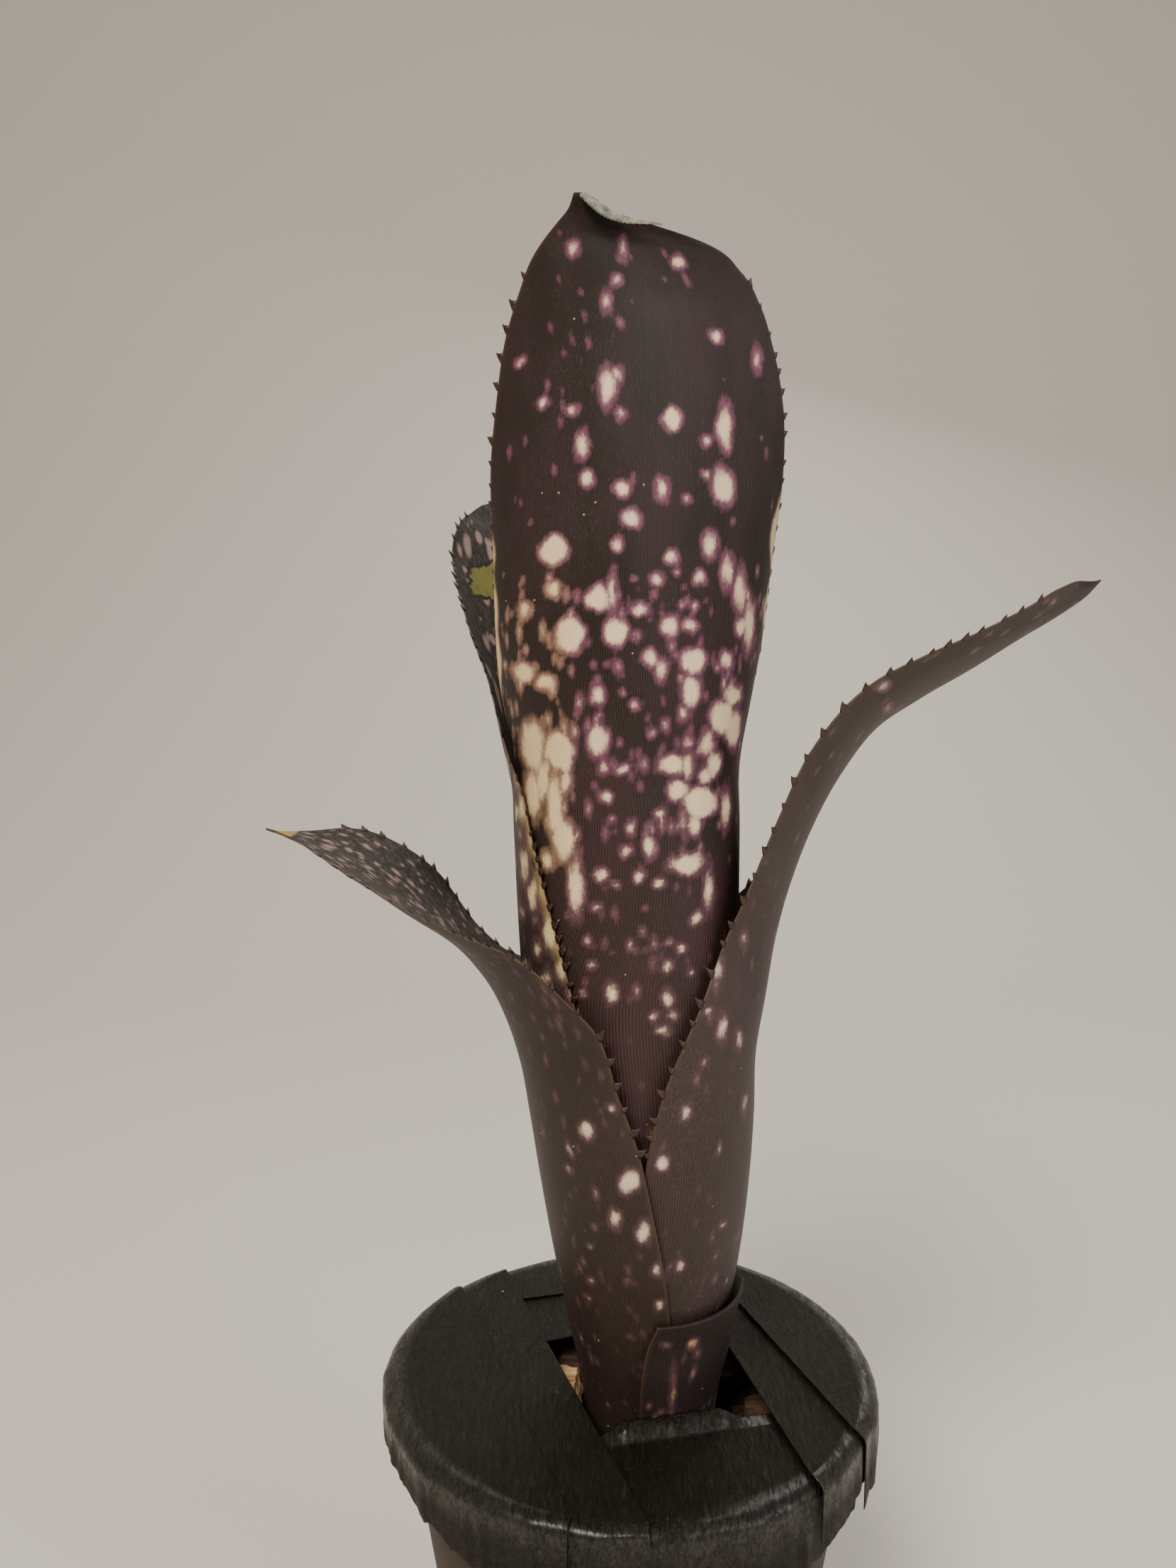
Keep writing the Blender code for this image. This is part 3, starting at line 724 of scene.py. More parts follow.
BACK_SPOTS = [
    (-25.5, 148, 0.9, 3.5), (-24.5, 141, 1.2, 4.0), (-22.5, 134, 1.0, 3.2), (-24.0, 128, 1.3, 4.5),
    (-22.0, 122, 1.6, 4.0), (-24.5, 117, 0.9, 1.8), (-19.5, 124, 1.1, 5.0), (-18.0, 114, 1.9, 4.2),
    (-21.0, 110, 1.2, 2.2), (-15.5, 107, 1.6, 3.2), (-18.5, 104, 1.0, 2.2), (-13.0, 101, 1.2, 2.0),
    (-23.0, 104, 0.8, 1.5), (-16.5, 118, 0.9, 2.6), (-21.5, 116, 0.7, 1.2), (-25.0, 135, 0.6, 1.2),
]
SHEATH_SPOTS = [
    (13.5, 20.5, 1.3, 1.5), (14.5, 17.5, 0.6, 1.4), (7.5, 21.5, 1.0, 0.6), (9.0, 8.0, 0.8, 5.5),
]


def spot_field(points, across_mm, along_mm, placed, scatter, seed):
    """How deep in a spot each point lies, in millimetres; below zero is outside every spot."""
    field = np.full(points.shape[:2], -9.0)
    x, y, z = points[..., 0], points[..., 1], points[..., 2] - RIM
    front = np.where(y < AXIS_Y + 4.0, 0.0, -9.0)
    flat = points.reshape(-1, 3) * np.array([1.0, 1.0, 0.7])
    x = x + (lumps(flat, 2.6, seed) * 0.55 + lumps(flat, 1.1, seed + 1) * 0.2).reshape(x.shape)
    z = z + (lumps(flat, 3.0, seed + 2) * 0.9 + lumps(flat, 1.3, seed + 3) * 0.25).reshape(x.shape)
    for sx, sz, rx, rz in placed:
        far = np.hypot((x - sx) / rx, (z - sz) / rz)
        field = np.maximum(field, (1 - far) * min(rx, rz) + front)
    rng = random.Random(seed)
    grid_along = along_mm[:, None]
    for count, low, high, small, large, peak in scatter:
        for _ in range(count):
            at = rng.uniform(low, high)
            side = rng.uniform(0.02, 0.98)
            half = rng.uniform(small, large)
            tall = half * rng.uniform(0.9, 2.2)
            row = int(np.searchsorted(along_mm, at).clip(0, len(along_mm) - 1))
            centre = across_mm[row, 0] + side * (across_mm[row, -1] - across_mm[row, 0])
            low_row = int(np.searchsorted(along_mm, at - 5 * tall))
            high_row = int(np.searchsorted(along_mm, at + 5 * tall)) + 1
            part = slice(low_row, high_row)
            far = np.hypot((across_mm[part] - centre) / half, (grid_along[part] - at) / tall)
            field[part] = np.maximum(field[part], (1 - far) * half - peak)
    return field


def add_flesh(piece, share):
    """A vertex group with each point's share of the leaf's full thickness, in steps of 4 percent."""
    flesh = piece.vertex_groups.new(name="flesh")
    for level in range(36, 101, 4):
        inside = np.nonzero(np.abs(share * 100 - level) <= 2.0)[0]
        if len(inside):
            flesh.add(inside.tolist(), level / 100, "REPLACE")


def scar_field(points, x, height, reach):
    """A healed patch with a ragged outline: over a half inside it, under a half outside."""
    aside, up = points[..., 0] - x, points[..., 2] - RIM - height
    around = np.arctan2(up, aside)
    ragged = 1.0 + 0.10 * np.sin(5 * around + 1.0) + 0.06 * np.sin(13 * around) + 0.04 * np.sin(29 * around)
    return np.clip(0.5 + (reach * ragged - np.hypot(aside, up)) / 8.0, 0, 1)


def make_leaf(
    name, stations, azimuth, rows, columns, finishes,
    placed=(), scatter=(), bands=(), seed=1, scar=None, tip_yellow=False,
):
    """One leaf: a fine sheet on its middle surface, fleshy along the middle and thin at the margins.

    The placed spots are read from the front. Each scatter row is a count, a stretch along the leaf,
    the least and greatest half width, and how much is taken off the spots' depth, which weakens them.
    Each band of merged spots is a margin, its lowest and highest height, and its reach inwards. The
    scar is its x, its height and its radius.
    """
    points, outward, across_mm, along_mm = leaf_surface(stations, azimuth, rows, columns)
    side = np.minimum(across_mm - across_mm[:, :1], across_mm[:, -1:] - across_mm)
    ripple = np.sin(along_mm[:, None] / 9.0 + seed) * 0.30 * np.exp(-side / 4.0)
    points = points + outward * ripple[..., None]
    field = spot_field(points, across_mm, along_mm, placed, scatter, seed)
    height = points[..., 2] - RIM
    yellow = np.zeros_like(height)
    if name == "leaf_front":
        yellow = 0.32 * np.clip((-11.0 - points[..., 0]) / 5.0, 0, 1) * np.clip((height - 118) / 12, 0, 1)
        yellow = yellow * np.clip((205 - height) / 20, 0, 1)
    if tip_yellow:
        reach = along_mm[-1] - along_mm[:, None]
        tip = np.clip((7.0 - reach) / 3.0, 0, 1) * np.clip((reach - 1.8) / 1.2, 0, 1)
        yellow = np.maximum(yellow, tip)
        field = np.maximum(field, np.clip(3.0 * yellow, 0, 2.5) - 1.0)
    for edge, low, high, reach in bands:
        near = across_mm - across_mm[:, :1] if edge == "left" else across_mm[:, -1:] - across_mm
        swell = np.clip((height - low) / 10.0, 0, 1) * np.clip((high - height) / 12.0, 0, 1)
        wobble = 1.0 + 0.45 * np.sin(height / 5.3) + 0.3 * np.sin(height / 2.1 + 1.0)
        field = np.maximum(field, reach * swell * wobble - near - 4.0 * (1 - swell))
        yellow = np.maximum(yellow, 0.5 * swell * np.clip(1.4 - near / (reach + 1.5), 0, 1))
    damage = scar_field(points, *scar) if scar else np.zeros_like(height)

    piece, row, column = grid_piece(name, rows, columns)
    set_vertices(piece, points[row, column])
    for label, values in (
        ("spots", np.clip(0.5 + field / 8.0, 0, 1)),
        ("yellow", yellow),
        ("height", np.clip((height - 95.0) / 75.0, 0, 1)),
        ("margin", np.exp(-side / 0.35) * 0.8),
        ("scar", damage),
    ):
        value_on(piece, label, values[row, column])
    add_flesh(piece, np.clip(0.35 + side / 9.0, 0.35, 1.0)[row, column])
    wall = add_wall(piece, LEAF_THICKNESS)
    wall.use_even_offset = True
    wall.vertex_group = "flesh"
    wall.material_offset = 1
    wall.material_offset_rim = 2
    for finish in finishes:
        piece.data.materials.append(finish)
    apply_all(piece)
    bpy.ops.object.shade_smooth()
    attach(piece, "root")
    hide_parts(name)
    return points, along_mm


def spine_pattern(name):
    """One spine 1 mm tall on its root, flattened and bent forwards."""
    clear_selection()
    bpy.ops.mesh.primitive_cone_add(vertices=7, radius1=0.62 * MM, radius2=0.03 * MM, depth=MM)
    pattern = start_piece(name)
    bpy.ops.object.mode_set(mode="EDIT")
    for height in (-0.15, 0.2):
        bpy.ops.mesh.select_all(action="SELECT")
        bpy.ops.mesh.bisect(plane_co=(0, 0, height * MM), plane_no=(0, 0, 1))
    bpy.ops.object.mode_set(mode="OBJECT")
    shape = vertex_array(pattern)
    shape[:, 2] += 0.5
    shape[:, 0] += 0.38 * shape[:, 2] ** 2
    shape[:, 1] *= 0.55
    set_vertices(pattern, shape)
    return pattern


def make_spines(name, leaf, finish, start, stop, spacing, length, seed):
    """Small forward-bent spines along both margins of a leaf, modelled once and copied."""
    points, along_mm = leaf
    rng = random.Random(seed)
    pattern = spine_pattern(name + "_pattern")
    copies = []
    for column, inner in ((0, 3), (-1, -4)):
        edge = points[:, column]
        place = start + rng.uniform(0, spacing)
        while place < stop:
            row = int(np.clip(np.searchsorted(along_mm, place), 2, len(along_mm) - 3))
            forward = edge[row + 2] - edge[row - 2]
            forward /= np.linalg.norm(forward)
            aside = edge[row] - points[row, inner]
            aside -= aside.dot(forward) * forward
            aside /= np.linalg.norm(aside)
            flat = np.cross(aside, forward)
            size = length * rng.uniform(0.7, 1.15)
            turn = Matrix((forward * size, flat, aside * size)).transposed().to_4x4()
            copy = pattern.copy()
            copy.data = pattern.data.copy()
            copy.matrix_world = Matrix.Translation(Vector((edge[row] - aside * 0.25) * MM)) @ turn
            bpy.context.scene.collection.objects.link(copy)
            copies.append(copy)
            place += spacing * rng.uniform(0.75, 1.3)
    bpy.data.objects.remove(pattern)
    spines = join_copies(copies, name, finish)
    bpy.ops.object.mode_set(mode="EDIT")
    face_out()
    bpy.ops.object.shade_smooth()
    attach(spines, "root")


# ---------------------------------------------------------------- tape

GAP = 0.35
TAPE_THICKNESS = 0.3
TAPE_PITCH = TAPE_THICKNESS + GAP
FILM = 0.22  # the film as it shows, thinner than the solid that it stands for
FOLD_RADIUS = 2.6
TAPE_COLUMNS = 260
LIP_ROWS, FIELD_ROWS, FOLD_ROWS, SKIRT_ROWS = 12, 70, 9, 26
# Strip: layer, direction it faces, its edge's distance from the middle, and its hang down the
# outside, read evenly along the rim, anticlockwise from above.
STRIPS = {
    "tape_front": (0, 282.3, 29.0, (9.0, 10.0, 15.0, 14.0, 10.0)),
    "tape_back": (0, 109.3, 17.5, (5.0, 5.0, 5.0)),
    "tape_back_top": (1, 104.3, 37.0, (6.0, 7.0, 6.0)),
    "tape_left": (2, 199.3, 16.5, (6.0, 5.0, 6.0, 13.0, 12.0)),
    "tape_left_edge": (3, 199.3, 31.0, (4.0, 5.0, 8.0, 11.0)),
    "tape_right": (2, 13.7, 26.5, (11.0, 6.0, 4.0, 6.0)),
    "tape_right_edge": (3, 19.3, 37.5, (15.0, 7.0, 4.0, 5.0)),
}
LIP_WIDTH = 4.0
LIP_RISE = 3.0


def lip_share(x):
    """The front strip's lip lies flat again where the side strips hold it down."""
    return np.clip((x + 6.0) / 5.0, 0, 1) * np.clip((26.0 - x) / 5.0, 0, 1)


def make_strip(name, finish):
    """One strip: a flat field from its straight edge to the rim, a round fold and a pleated skirt."""
    layer, facing, offset, hangs = STRIPS[name]
    level = POT_HEIGHT + GAP + TAPE_THICKNESS / 2 + layer * TAPE_PITCH
    side = RIM_RADIUS + GAP + TAPE_THICKNESS / 2 + layer * TAPE_PITCH
    flat = side - FOLD_RADIUS
    middle = math.radians(facing)
    half = math.acos(offset / flat)
    lip_rows = LIP_ROWS if name == "tape_front" else 0
    rows = lip_rows + FIELD_ROWS + FOLD_ROWS + SKIRT_ROWS
    piece, row, column = grid_piece(name, rows, TAPE_COLUMNS)
    share = np.linspace(0, 1, TAPE_COLUMNS)
    turns = middle - half + 2 * half * share
    arc = np.stack([np.cos(turns), np.sin(turns), 0 * turns], 1)
    ends = np.array([arc[0] * flat, arc[-1] * flat])
    chord = ends[0] + (ends[1] - ends[0]) * share[:, None]
    inward = np.array([-math.cos(middle), -math.sin(middle), 0.0])
    raised = lip_share(chord[:, 0])
    rim = arc * RIM_RADIUS
    hang = np.interp(share, np.linspace(0, 1, len(hangs)), hangs)
    ragged = lumps(rim, 5.0, facing) * 1.3 + lumps(rim, 1.6, facing + 3) * 0.55
    hang = hang + ragged * np.clip(np.minimum(share, 1 - share) * 30, 0, 1)
    # Swell and pleat are the same for every strip at the same angle, so the strips nest.
    swell = (0.5 + 0.5 * lumps(rim, 13.0, 2)) * 0.9 + np.maximum(lumps(rim, 5.0, 6), 0) * 0.7
    pleat = lumps(rim, 4.5, 9) ** 2 * 2.4 + np.maximum(lumps(rim, 2.2, 5), 0) * 0.6
    grid = np.empty((rows, TAPE_COLUMNS, 3))
    pulled = np.zeros(rows)  # 1 where the film is drawn tight and shines
    for i in range(rows):
        k = i - lip_rows
        if k < 0:
            s = -k / lip_rows
            pulled[i] = 0.9
            grid[i] = chord + inward * LIP_WIDTH * s + np.array([0, 0, level])
            crumple = lumps(chord + inward * LIP_WIDTH * s * 2, 3.0, 17) * 0.35 * raised
            grid[i, :, 2] += LIP_RISE * raised * (1 - (1 - s) ** 2) + crumple * min(1.0, 2 * s)
        elif k < FIELD_ROWS:
            s = k / (FIELD_ROWS - 1)
            pulled[i] = max(0.0, (s - 0.88) / 0.12)
            grid[i] = chord * (1 - s) + arc * flat * s + np.array([0, 0, level])
        elif k < FIELD_ROWS + FOLD_ROWS:
            bend = (k - FIELD_ROWS + 1) / FOLD_ROWS * math.pi / 2
            pulled[i] = 1.0
            grid[i] = arc * (flat + FOLD_RADIUS * math.sin(bend) + swell * math.sin(bend))[:, None]
            grid[i, :, 2] = level - FOLD_RADIUS * (1 - math.cos(bend))
        else:
            s = (k - FIELD_ROWS - FOLD_ROWS + 1) / SKIRT_ROWS
            pulled[i] = max(0.0, 1.0 - 1.5 * s)
            out = side + swell * (1 - 0.6 * s) + pleat * min(1.0, 2.2 * s) * 0.55
            grid[i] = arc * out[:, None]
            grid[i, :, 2] = level - FOLD_RADIUS - hang * s
    points = grid[row, column]
    top = np.clip((points[:, 2] - (level - 0.5)) / 0.5, 0, 1)
    points[:, 2] += top * (lumps(points, 11.0, layer) * 0.10 + lumps(points, 3.0, layer + 4) * 0.05)
    if layer >= 2:
        across = points[:, 0] * math.cos(middle) + points[:, 1] * math.sin(middle)
        lift = 0.55 if name == "tape_right_edge" else 0.2
        points[:, 2] += top * lift * np.exp(-(across - offset) / 1.5)
    # The skirt stays inside the solids' box in front and behind.
    points[:, 1] = np.clip(points[:, 1], CAD_BOX[0][1] / MM + 0.15, CAD_BOX[1][1] / MM - 0.15)
    set_vertices(piece, points)
    value_on(piece, "pulled", pulled[row])
    add_wall(piece, FILM)
    piece.data.materials.append(finish)
    take(piece)
    bpy.ops.object.mode_set(mode="EDIT")
    bpy.ops.mesh.select_all(action="SELECT")
    bpy.ops.mesh.remove_doubles(threshold=0.01 * MM)
    face_out()
    apply_all(piece)
    bpy.ops.object.shade_smooth()
    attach(piece, "root")
    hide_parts(name)


# ---------------------------------------------------------------- pot and mix


def body_radius(z):
    """Outside of the pot's tapered body at a height above the foot."""
    return FOOT_RADIUS + (BODY_RADIUS - FOOT_RADIUS) * z / (POT_HEIGHT - COLLAR_HEIGHT)


def make_pot(finish):
    """The pot, drawn up ring by ring from its base, with drain holes and a thickened collar."""
    step = POT_HEIGHT - COLLAR_HEIGHT
    profile = [
        (FOOT_RADIUS - 0.4, 0.5), (FOOT_RADIUS, 1.5), (body_radius(30), 30.0), (body_radius(60), 60.0),
        (body_radius(step), step), (RIM_RADIUS - 0.8, step), (RIM_RADIUS - 0.2, step + 0.3),
        (RIM_RADIUS, step + 0.9), (RIM_RADIUS, POT_HEIGHT - 2.7), (RIM_RADIUS - 0.25, POT_HEIGHT - 1.6),
        (RIM_RADIUS - 0.8, POT_HEIGHT - 0.7), (RIM_RADIUS - 1.5, POT_HEIGHT - 0.15),
        (RIM_RADIUS - 1.9, POT_HEIGHT), (RIM_RADIUS - POT_WALL, POT_HEIGHT - 0.8),
        (RIM_RADIUS - POT_WALL, step + 2.0), (body_radius(step) - POT_WALL, step - 1.0),
        (FOOT_RADIUS - POT_WALL, 3.2), (FOOT_RADIUS - 2.6, 2.6),
    ]
    base = FOOT_RADIUS - 1.5
    clear_selection()
    bpy.ops.mesh.primitive_circle_add(vertices=160, radius=base * MM, fill_type="NGON")
    pot = start_piece("grow_pot")
    bpy.ops.object.mode_set(mode="EDIT")
    bpy.ops.mesh.select_all(action="SELECT")
    draw_up(base, 0.0, profile)
    face_out()
    clear_selection()
    drills = []
    for k in range(DRAIN_HOLES):
        turn = 2 * math.pi * (k + 0.5) / DRAIN_HOLES
        x, y = DRAIN_CIRCLE * math.cos(turn) * MM, DRAIN_CIRCLE * math.sin(turn) * MM
        bpy.ops.mesh.primitive_cylinder_add(
            vertices=40, radius=DRAIN_RADIUS * MM, depth=12 * MM, location=(x, y, 2 * MM)
        )
        drill = bpy.context.object
        hole = pot.modifiers.new("drain hole", "BOOLEAN")
        hole.operation = "DIFFERENCE"
        hole.solver = "EXACT"
        hole.object = drill
        drills.append(drill)
    apply_all(pot)
    for drill in drills:
        bpy.data.objects.remove(drill)
    take(pot)
    bpy.ops.object.shade_smooth_by_angle(angle=math.radians(35))
    pot.data.materials.append(finish)
    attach(pot, "root")
    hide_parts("pot")


MIX_TOP = RIM - 15.0
MIX_GAP = 2.7  # from the outside of the pot to the mix
MIX_FOOT = (36.0, 3.0)
TUBE_X = 4.5  # where the plant stands in the mix, with AXIS_Y
HOLLOW_RADIUS = 21.0  # the mix lies lower inside the tube of leaves
HOLLOW_DEPTH = 7.0
BITS = 260
STREWN = 48.0
STREWN_CLEAR = 19.5


def chip(name, size, seed, cuts=2):
    """A splintery flake of bark: a block cut askew on its corners."""
    rng = random.Random(seed)
    clear_selection()
    bpy.ops.mesh.primitive_cube_add(size=MM)
    piece = start_piece(name)
    piece.scale = size
    settle(piece)
    bpy.ops.object.mode_set(mode="EDIT")
    for _ in range(5):
        bpy.ops.mesh.select_all(action="SELECT")
        out = Vector((rng.uniform(-1, 1), rng.uniform(-1, 1), rng.uniform(-0.7, 0.7))).normalized()
        reach = sum(abs(out[i]) * size[i] for i in range(3)) * 0.5 * rng.uniform(0.62, 0.8)
        bpy.ops.mesh.bisect(plane_co=out * reach * MM, plane_no=out, clear_outer=True, use_fill=True)
    bpy.ops.mesh.select_all(action="SELECT")
    bpy.ops.mesh.quads_convert_to_tris()
    if cuts:
        bpy.ops.mesh.subdivide(number_cuts=cuts)
    bpy.ops.object.mode_set(mode="OBJECT")
    return piece


def make_chips(finishes):
    """The chips that lie loose on the mix, each in its own place."""
    for number in range(1, 9):
        low, high = (Vector(c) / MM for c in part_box(f"bark_chip_{number}"))
        size = high - low
        piece = chip(f"bark_flake_{number}", tuple(size), number * 3)
        smooth = piece.modifiers.new("even", "SUBSURF")
        smooth.subdivision_type = "SIMPLE"
        smooth.levels = smooth.render_levels = 2
        apply_all(piece)
        points = vertex_array(piece)
        torn = lumps(points * np.array([0.25, 1, 1]), 0.8, number) * 0.35 + lumps(points, 2.4, number) * 0.5
        reach = np.linalg.norm(points, axis=1)[:, None]
        points += points / np.maximum(reach, 0.1) * torn[:, None]
        extent = np.ptp(points, axis=0)
        points = points / extent * np.array(size) * 0.99
        points -= (points.max(0) + points.min(0)) / 2
        points += np.array((low + high) / 2)
        set_vertices(piece, points)
        bpy.ops.object.shade_smooth_by_angle(angle=math.radians(28))
        piece.data.materials.append(finishes[0] if number == 1 else finishes[1])
        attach(piece, "root")
        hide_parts(f"bark_chip_{number}")


def mix_surface(x, y):
    """Height of the bark mix's lumpy top."""
    broad = math.sin(x * 0.42 + 1.0) * math.sin(y * 0.47)
    return MIX_TOP + 0.9 * (broad + 0.6 * math.sin(x * 0.9 - y * 0.7))


def make_mix(finish):
    """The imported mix: a turned body with a rough top, lower inside the tube of leaves."""
    sides = [(body_radius(z) - MIX_GAP, z) for z in (30.0, 60.0, MIX_TOP - 1.5)]
    crown = [(wide, MIX_TOP - 0.1) for wide in np.linspace(sides[-1][0] - 0.8, 12.0, 48)]
    radius, height = MIX_FOOT
    clear_selection()
    bpy.ops.mesh.primitive_circle_add(
        vertices=120, radius=radius * MM, fill_type="NGON", location=(0, 0, height * MM)
    )
    mix = start_piece("potting_mix")
    settle(mix)
    bpy.ops.object.mode_set(mode="EDIT")
    bpy.ops.mesh.select_all(action="SELECT")
    draw_up(radius, height, sides + crown)
    face_out()
    points = vertex_array(mix)
    top = points[:, 2] > MIX_TOP - 0.3
    rough = lumps(points[top], 2.2, 2) * 0.8 + lumps(points[top], 0.9, 5) * 0.35
    points[top, 2] = [mix_surface(x, y) - 0.6 for x, y, _ in points[top]] + rough
    inside = np.hypot(points[:, 0] - TUBE_X, points[:, 1] - AXIS_Y) < HOLLOW_RADIUS
    points[top & inside, 2] -= HOLLOW_DEPTH
    set_vertices(mix, points)
    bpy.ops.object.shade_smooth()
    mix.data.materials.append(finish)
    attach(mix, "root")
    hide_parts("bark_mix")


def make_bits(finish):
    """Small bits of bark strewn over the mix, outside the tube of leaves."""
    rng = random.Random(11)
    patterns = [chip(f"bit_{k}", (3.6, 2.2, 1.5), 40 + k, cuts=0) for k in range(5)]
    bits = []
    while len(bits) < BITS:
        x, y = rng.uniform(-STREWN, STREWN), rng.uniform(-STREWN, STREWN)
        if math.hypot(x, y) > STREWN or math.hypot(x - TUBE_X, y - AXIS_Y) < STREWN_CLEAR:
            continue
        pattern = rng.choice(patterns)
        bit = pattern.copy()
        bit.data = pattern.data.copy()
        bit.location = (x * MM, y * MM, (mix_surface(x, y) + rng.uniform(0.0, 0.8)) * MM)
        bit.rotation_euler = (rng.uniform(-0.6, 0.6), rng.uniform(-0.6, 0.6), rng.uniform(0, 6.28))
        bit.scale = [rng.uniform(0.5, 1.25)] * 3
        bpy.context.scene.collection.objects.link(bit)
        bits.append(bit)
    for pattern in patterns:
        bpy.data.objects.remove(pattern)
    strewn = join_copies(bits, "mix_bits", finish)
    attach(strewn, "root")


# ---------------------------------------------------------------- the plant in its pot

# Ground higher up and lower down, spot, the spot's edge, scurf, veins, amount of scurf.
FRONT_SKIN = leaf_skin(
    "front leaf skin", (22, 14, 10), (40, 24, 24), (228, 202, 166), (128, 76, 98), (92, 80, 66), 170.0, 0.24
)
LEFT_SKIN = leaf_skin(
    "left leaf skin", (34, 25, 20), (34, 24, 20), (212, 190, 164), (116, 80, 84), (96, 82, 70), 150.0, 0.30
)
RIGHT_SKIN = leaf_skin(
    "right leaf skin", (50, 41, 36), (42, 30, 29), (214, 192, 176), (124, 86, 96), (112, 98, 88), 150.0, 0.36
)
BACK_SKIN = leaf_skin(
    "back leaf skin", (46, 38, 30), (38, 28, 25), (216, 198, 150), (120, 88, 88), (104, 94, 80), 150.0, 0.36
)
SHEATH_SKIN = leaf_skin(
    "old sheath skin", (32, 23, 22), (30, 21, 20), (190, 152, 112), (84, 62, 60), (88, 76, 70), 140.0, 0.30,
    rough=0.55,
)
LINING = leaf_lining("leaf lining", rgb(34, 27, 22), rgb(84, 74, 62), 110.0)
TANK_LINING = leaf_lining("tank lining", rgb(38, 40, 26), rgb(98, 96, 70), 110.0)
MARGIN = plain_finish("leaf margin", rgb(40, 27, 20), rgb(92, 68, 46), 300.0, 0.6)
SPINE = plain_finish("spine", rgb(26, 16, 11), rgb(70, 42, 26), 900.0, 0.4)

front = make_leaf(
    "leaf_front", FRONT_LEAF, 270.0, 330, 138, (FRONT_SKIN, TANK_LINING, MARGIN), FRONT_SPOTS,
    scatter=[
        (90, 165, 215, 0.5, 1.1, 0.2), (90, 182, 222, 0.6, 1.3, 0.7), (110, 160, 216, 1.2, 2.4, 1.8),
        (90, 60, 170, 0.3, 0.8, 0.1), (150, 30, 190, 0.3, 0.6, 0.3), (26, 215, 291, 0.4, 0.8, 0.4),
        (26, 225, 291, 1.0, 2.0, 1.8),
    ],
    bands=[("left", 148, 208, 2.4), ("right", 172, 216, 3.2)],
    seed=5,
)
back = make_leaf(
    "leaf_back", BACK_LEAF, 125.0, 280, 130, (BACK_SKIN, LINING, MARGIN), BACK_SPOTS,
    scatter=[(190, 60, 250, 0.6, 1.7, 0.2), (90, 80, 200, 0.8, 2.0, 0.9), (120, 30, 250, 0.3, 0.7, 0.2)],
    bands=[("right", 100, 150, 0.7)],
    seed=8, scar=(-35.0, 194.0, 5.0),
)
right = make_leaf(
    "leaf_right", RIGHT_LEAF, 0.0, 290, 130, (RIGHT_SKIN, LINING, MARGIN), RIGHT_SPOTS,
    scatter=[(70, 30, 150, 0.3, 0.8, 0.1), (40, 120, 250, 0.4, 1.0, 0.5), (140, 20, 250, 0.25, 0.5, 0.3)],
    seed=3,
)
left = make_leaf(
    "leaf_left", LEFT_LEAF, 187.0, 260, 130, (LEFT_SKIN, LINING, MARGIN), LEFT_SPOTS,
    scatter=[
        (80, 20, 110, 0.3, 0.8, 0.1), (60, 30, 190, 0.3, 0.7, 0.4), (160, 20, 190, 0.25, 0.45, 0.3),
        (150, 110, 185, 0.25, 0.6, 0.1),
    ],
    seed=13, tip_yellow=True,
)
make_leaf(
    "old_sheath", OLD_SHEATH, 340.0, 90, 150, (SHEATH_SKIN, LINING, SHEATH_SKIN), SHEATH_SPOTS,
    scatter=[(60, 0, 50, 0.3, 0.8, 0.1)],
    seed=21,
)


def make_flap(finish, edge_finish):
    """The strip of margin that rolls over beside the front leaf's point, inner face out."""
    # Along the fold: x, height of the fold, height of the free edge.
    fold = [
        (-11.6, 264.6, 264.0), (-10.6, 264.9, 262.0), (-9.6, 264.6, 260.6), (-8.4, 263.9, 259.8),
        (-7.0, 262.9, 259.3), (-5.6, 262.0, 259.1), (-4.2, 261.2, 258.9), (-2.4, 260.5, 258.8),
        (0.0, 259.9, 258.8), (2.4, 259.5, 258.9), (4.6, 259.1, 258.8),
    ]
    rows, columns = 9, 80
    piece, row, column = grid_piece("leaf_tip_flap", rows, columns)
    share = np.linspace(0, 10, columns)
    x, top, low = (np.interp(share, range(11), line) for line in zip(*fold))
    low = low + 0.28 * np.abs(np.sin(share * 5.5)) * np.clip(top - low, 0, 0.8)
    drop = np.clip(top - low, 0.2, None)
    back = -37.1 - 0.35 * np.clip((-x - 4) / 7, 0, 1)
    points = np.empty((rows, columns, 3))
    for i in range(rows):
        s = i / (rows - 1)
        points[i, :, 0] = x + 0.25 * drop * s
        points[i, :, 1] = back - 0.55 * drop * math.sin(s * math.pi * 0.6) ** 0.8
        points[i, :, 2] = RIM + top * (1 - s) + low * s - 0.25
    set_vertices(piece, points[row, column])
    add_wall(piece, 0.3).material_offset_rim = 1
    piece.data.materials.append(finish)
    piece.data.materials.append(edge_finish)
    apply_all(piece)
    bpy.ops.object.shade_smooth()
    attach(piece, "root")


make_flap(
    plain_finish("rolled margin", rgb(78, 82, 76), rgb(142, 140, 120), 700.0, 0.6, depth=0.00015),
    plain_finish("rolled margin edge", rgb(150, 144, 96), rgb(206, 198, 150), 900.0, 0.6),
)
make_spines("spines_front", front, SPINE, 168, 283, 4.6, 1.9, 2)
make_spines("spines_back", back, SPINE, 120, 240, 3.4, 1.9, 3)
make_spines("spines_right", right, SPINE, 92, 236, 4.6, 2.1, 4)
make_spines("spines_left", left, SPINE, 92, 180, 4.4, 2.1, 6)

for strip, (_, facing, _, _) in STRIPS.items():
    make_strip(strip, tape_finish(strip.replace("_", " "), math.radians(facing)))

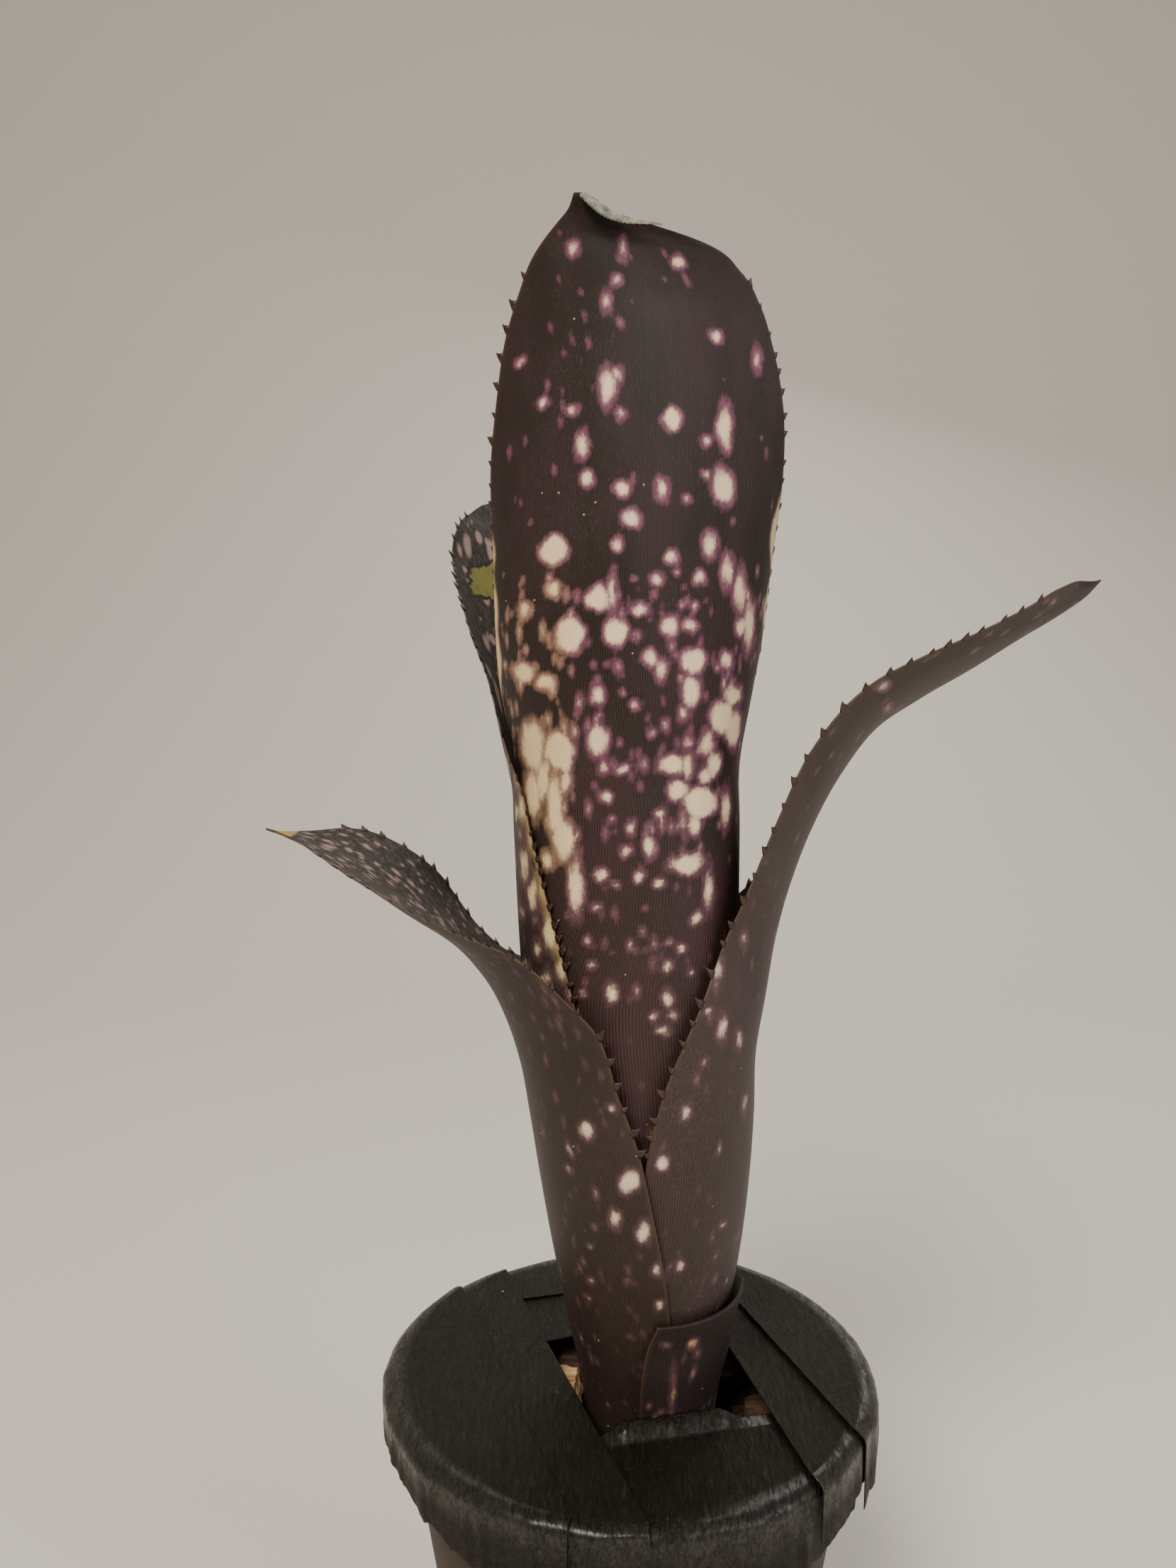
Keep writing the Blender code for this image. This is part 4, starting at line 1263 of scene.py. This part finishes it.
make_pot(pot_finish())
BARK = plain_finish("fresh bark", rgb(140, 96, 54), rgb(222, 186, 130), 420.0, 0.85, (0.3, 1, 1), 0.0003)
DARK_BARK = plain_finish("dark bark", rgb(34, 22, 15), rgb(92, 62, 38), 420.0, 0.9, (0.3, 1, 1), 0.0003)
make_mix(plain_finish("potting mix", rgb(16, 11, 8), rgb(52, 36, 25), 900.0, 0.95, depth=0.0004))
make_bits(DARK_BARK)
make_chips((BARK, DARK_BARK))
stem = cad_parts["stem"].data.materials
stem.clear()
stem.append(plain_finish("stem", rgb(70, 52, 34), rgb(120, 94, 62), 500.0, 0.8, depth=0.0002))


# ---------------------------------------------------------------- floor, light and camera


def make_stage():
    """A plain pale floor that curves up behind, with soft studio light."""
    size, middle, rise, curve = 6.0, -1.4, 2.6, 0.9
    behind = middle + size / 2 - 0.1
    clear_selection()
    bpy.ops.mesh.primitive_plane_add(size=size, location=(0, middle, 0))
    floor = start_piece("floor")
    settle(floor)
    bpy.ops.object.mode_set(mode="EDIT")
    pick_edges(floor, lambda edge: all(v.co.y > behind for v in edge.verts))
    bpy.ops.mesh.extrude_edges_move(TRANSFORM_OT_translate={"value": (0, 0, rise)})
    pick_edges(floor, lambda edge: all(v.co.y > behind and v.co.z < 0.01 for v in edge.verts))
    bpy.ops.mesh.bevel(offset=curve, segments=24, affect="EDGES")
    bpy.ops.object.mode_set(mode="OBJECT")
    bpy.ops.object.shade_smooth()
    made, _, shader = new_material("pale floor")
    shader.inputs["Base Color"].default_value = rgb(214, 208, 198)
    shader.inputs["Roughness"].default_value = 0.9
    floor.data.materials.append(made)
    for name, place, width, power, colour in (
        ("key light", (-0.42, -1.0, 1.30), 0.6, 27.0, (1.0, 0.94, 0.86)),
        ("fill light", (1.05, -0.75, 0.75), 1.0, 9.0, (0.95, 0.97, 1.0)),
        ("back light", (0.35, 1.1, 1.25), 1.0, 8.0, (1.0, 0.98, 0.95)),
    ):
        lamp = bpy.data.lights.new(name, "AREA")
        lamp.shape = "DISK"
        lamp.size = width
        lamp.energy = power
        lamp.color = colour
        made = bpy.data.objects.new(name, lamp)
        made.location = place
        aim = Vector((0, 0, 0.22)) - Vector(place)
        made.rotation_euler = aim.to_track_quat("-Z", "Y").to_euler()
        bpy.context.scene.collection.objects.link(made)
    world = bpy.data.worlds.new("studio")
    world.use_nodes = True
    sky = world.node_tree.nodes["Background"]
    sky.inputs["Color"].default_value = (0.90, 0.86, 0.80, 1.0)
    sky.inputs["Strength"].default_value = 0.36
    bpy.context.scene.world = world


def make_camera():
    """A wide view from in front of the leaves, tipped a little down."""
    data = bpy.data.cameras.new("camera")
    data.lens = 27.0
    data.sensor_width = 36.0
    data.clip_start = 0.01
    camera = bpy.data.objects.new("camera", data)
    camera.location = (-0.010, -0.278, 0.275)
    camera.rotation_euler = (math.radians(85.0), 0.0, 0.0)
    bpy.context.scene.collection.objects.link(camera)
    bpy.context.scene.camera = camera


make_stage()
make_camera()
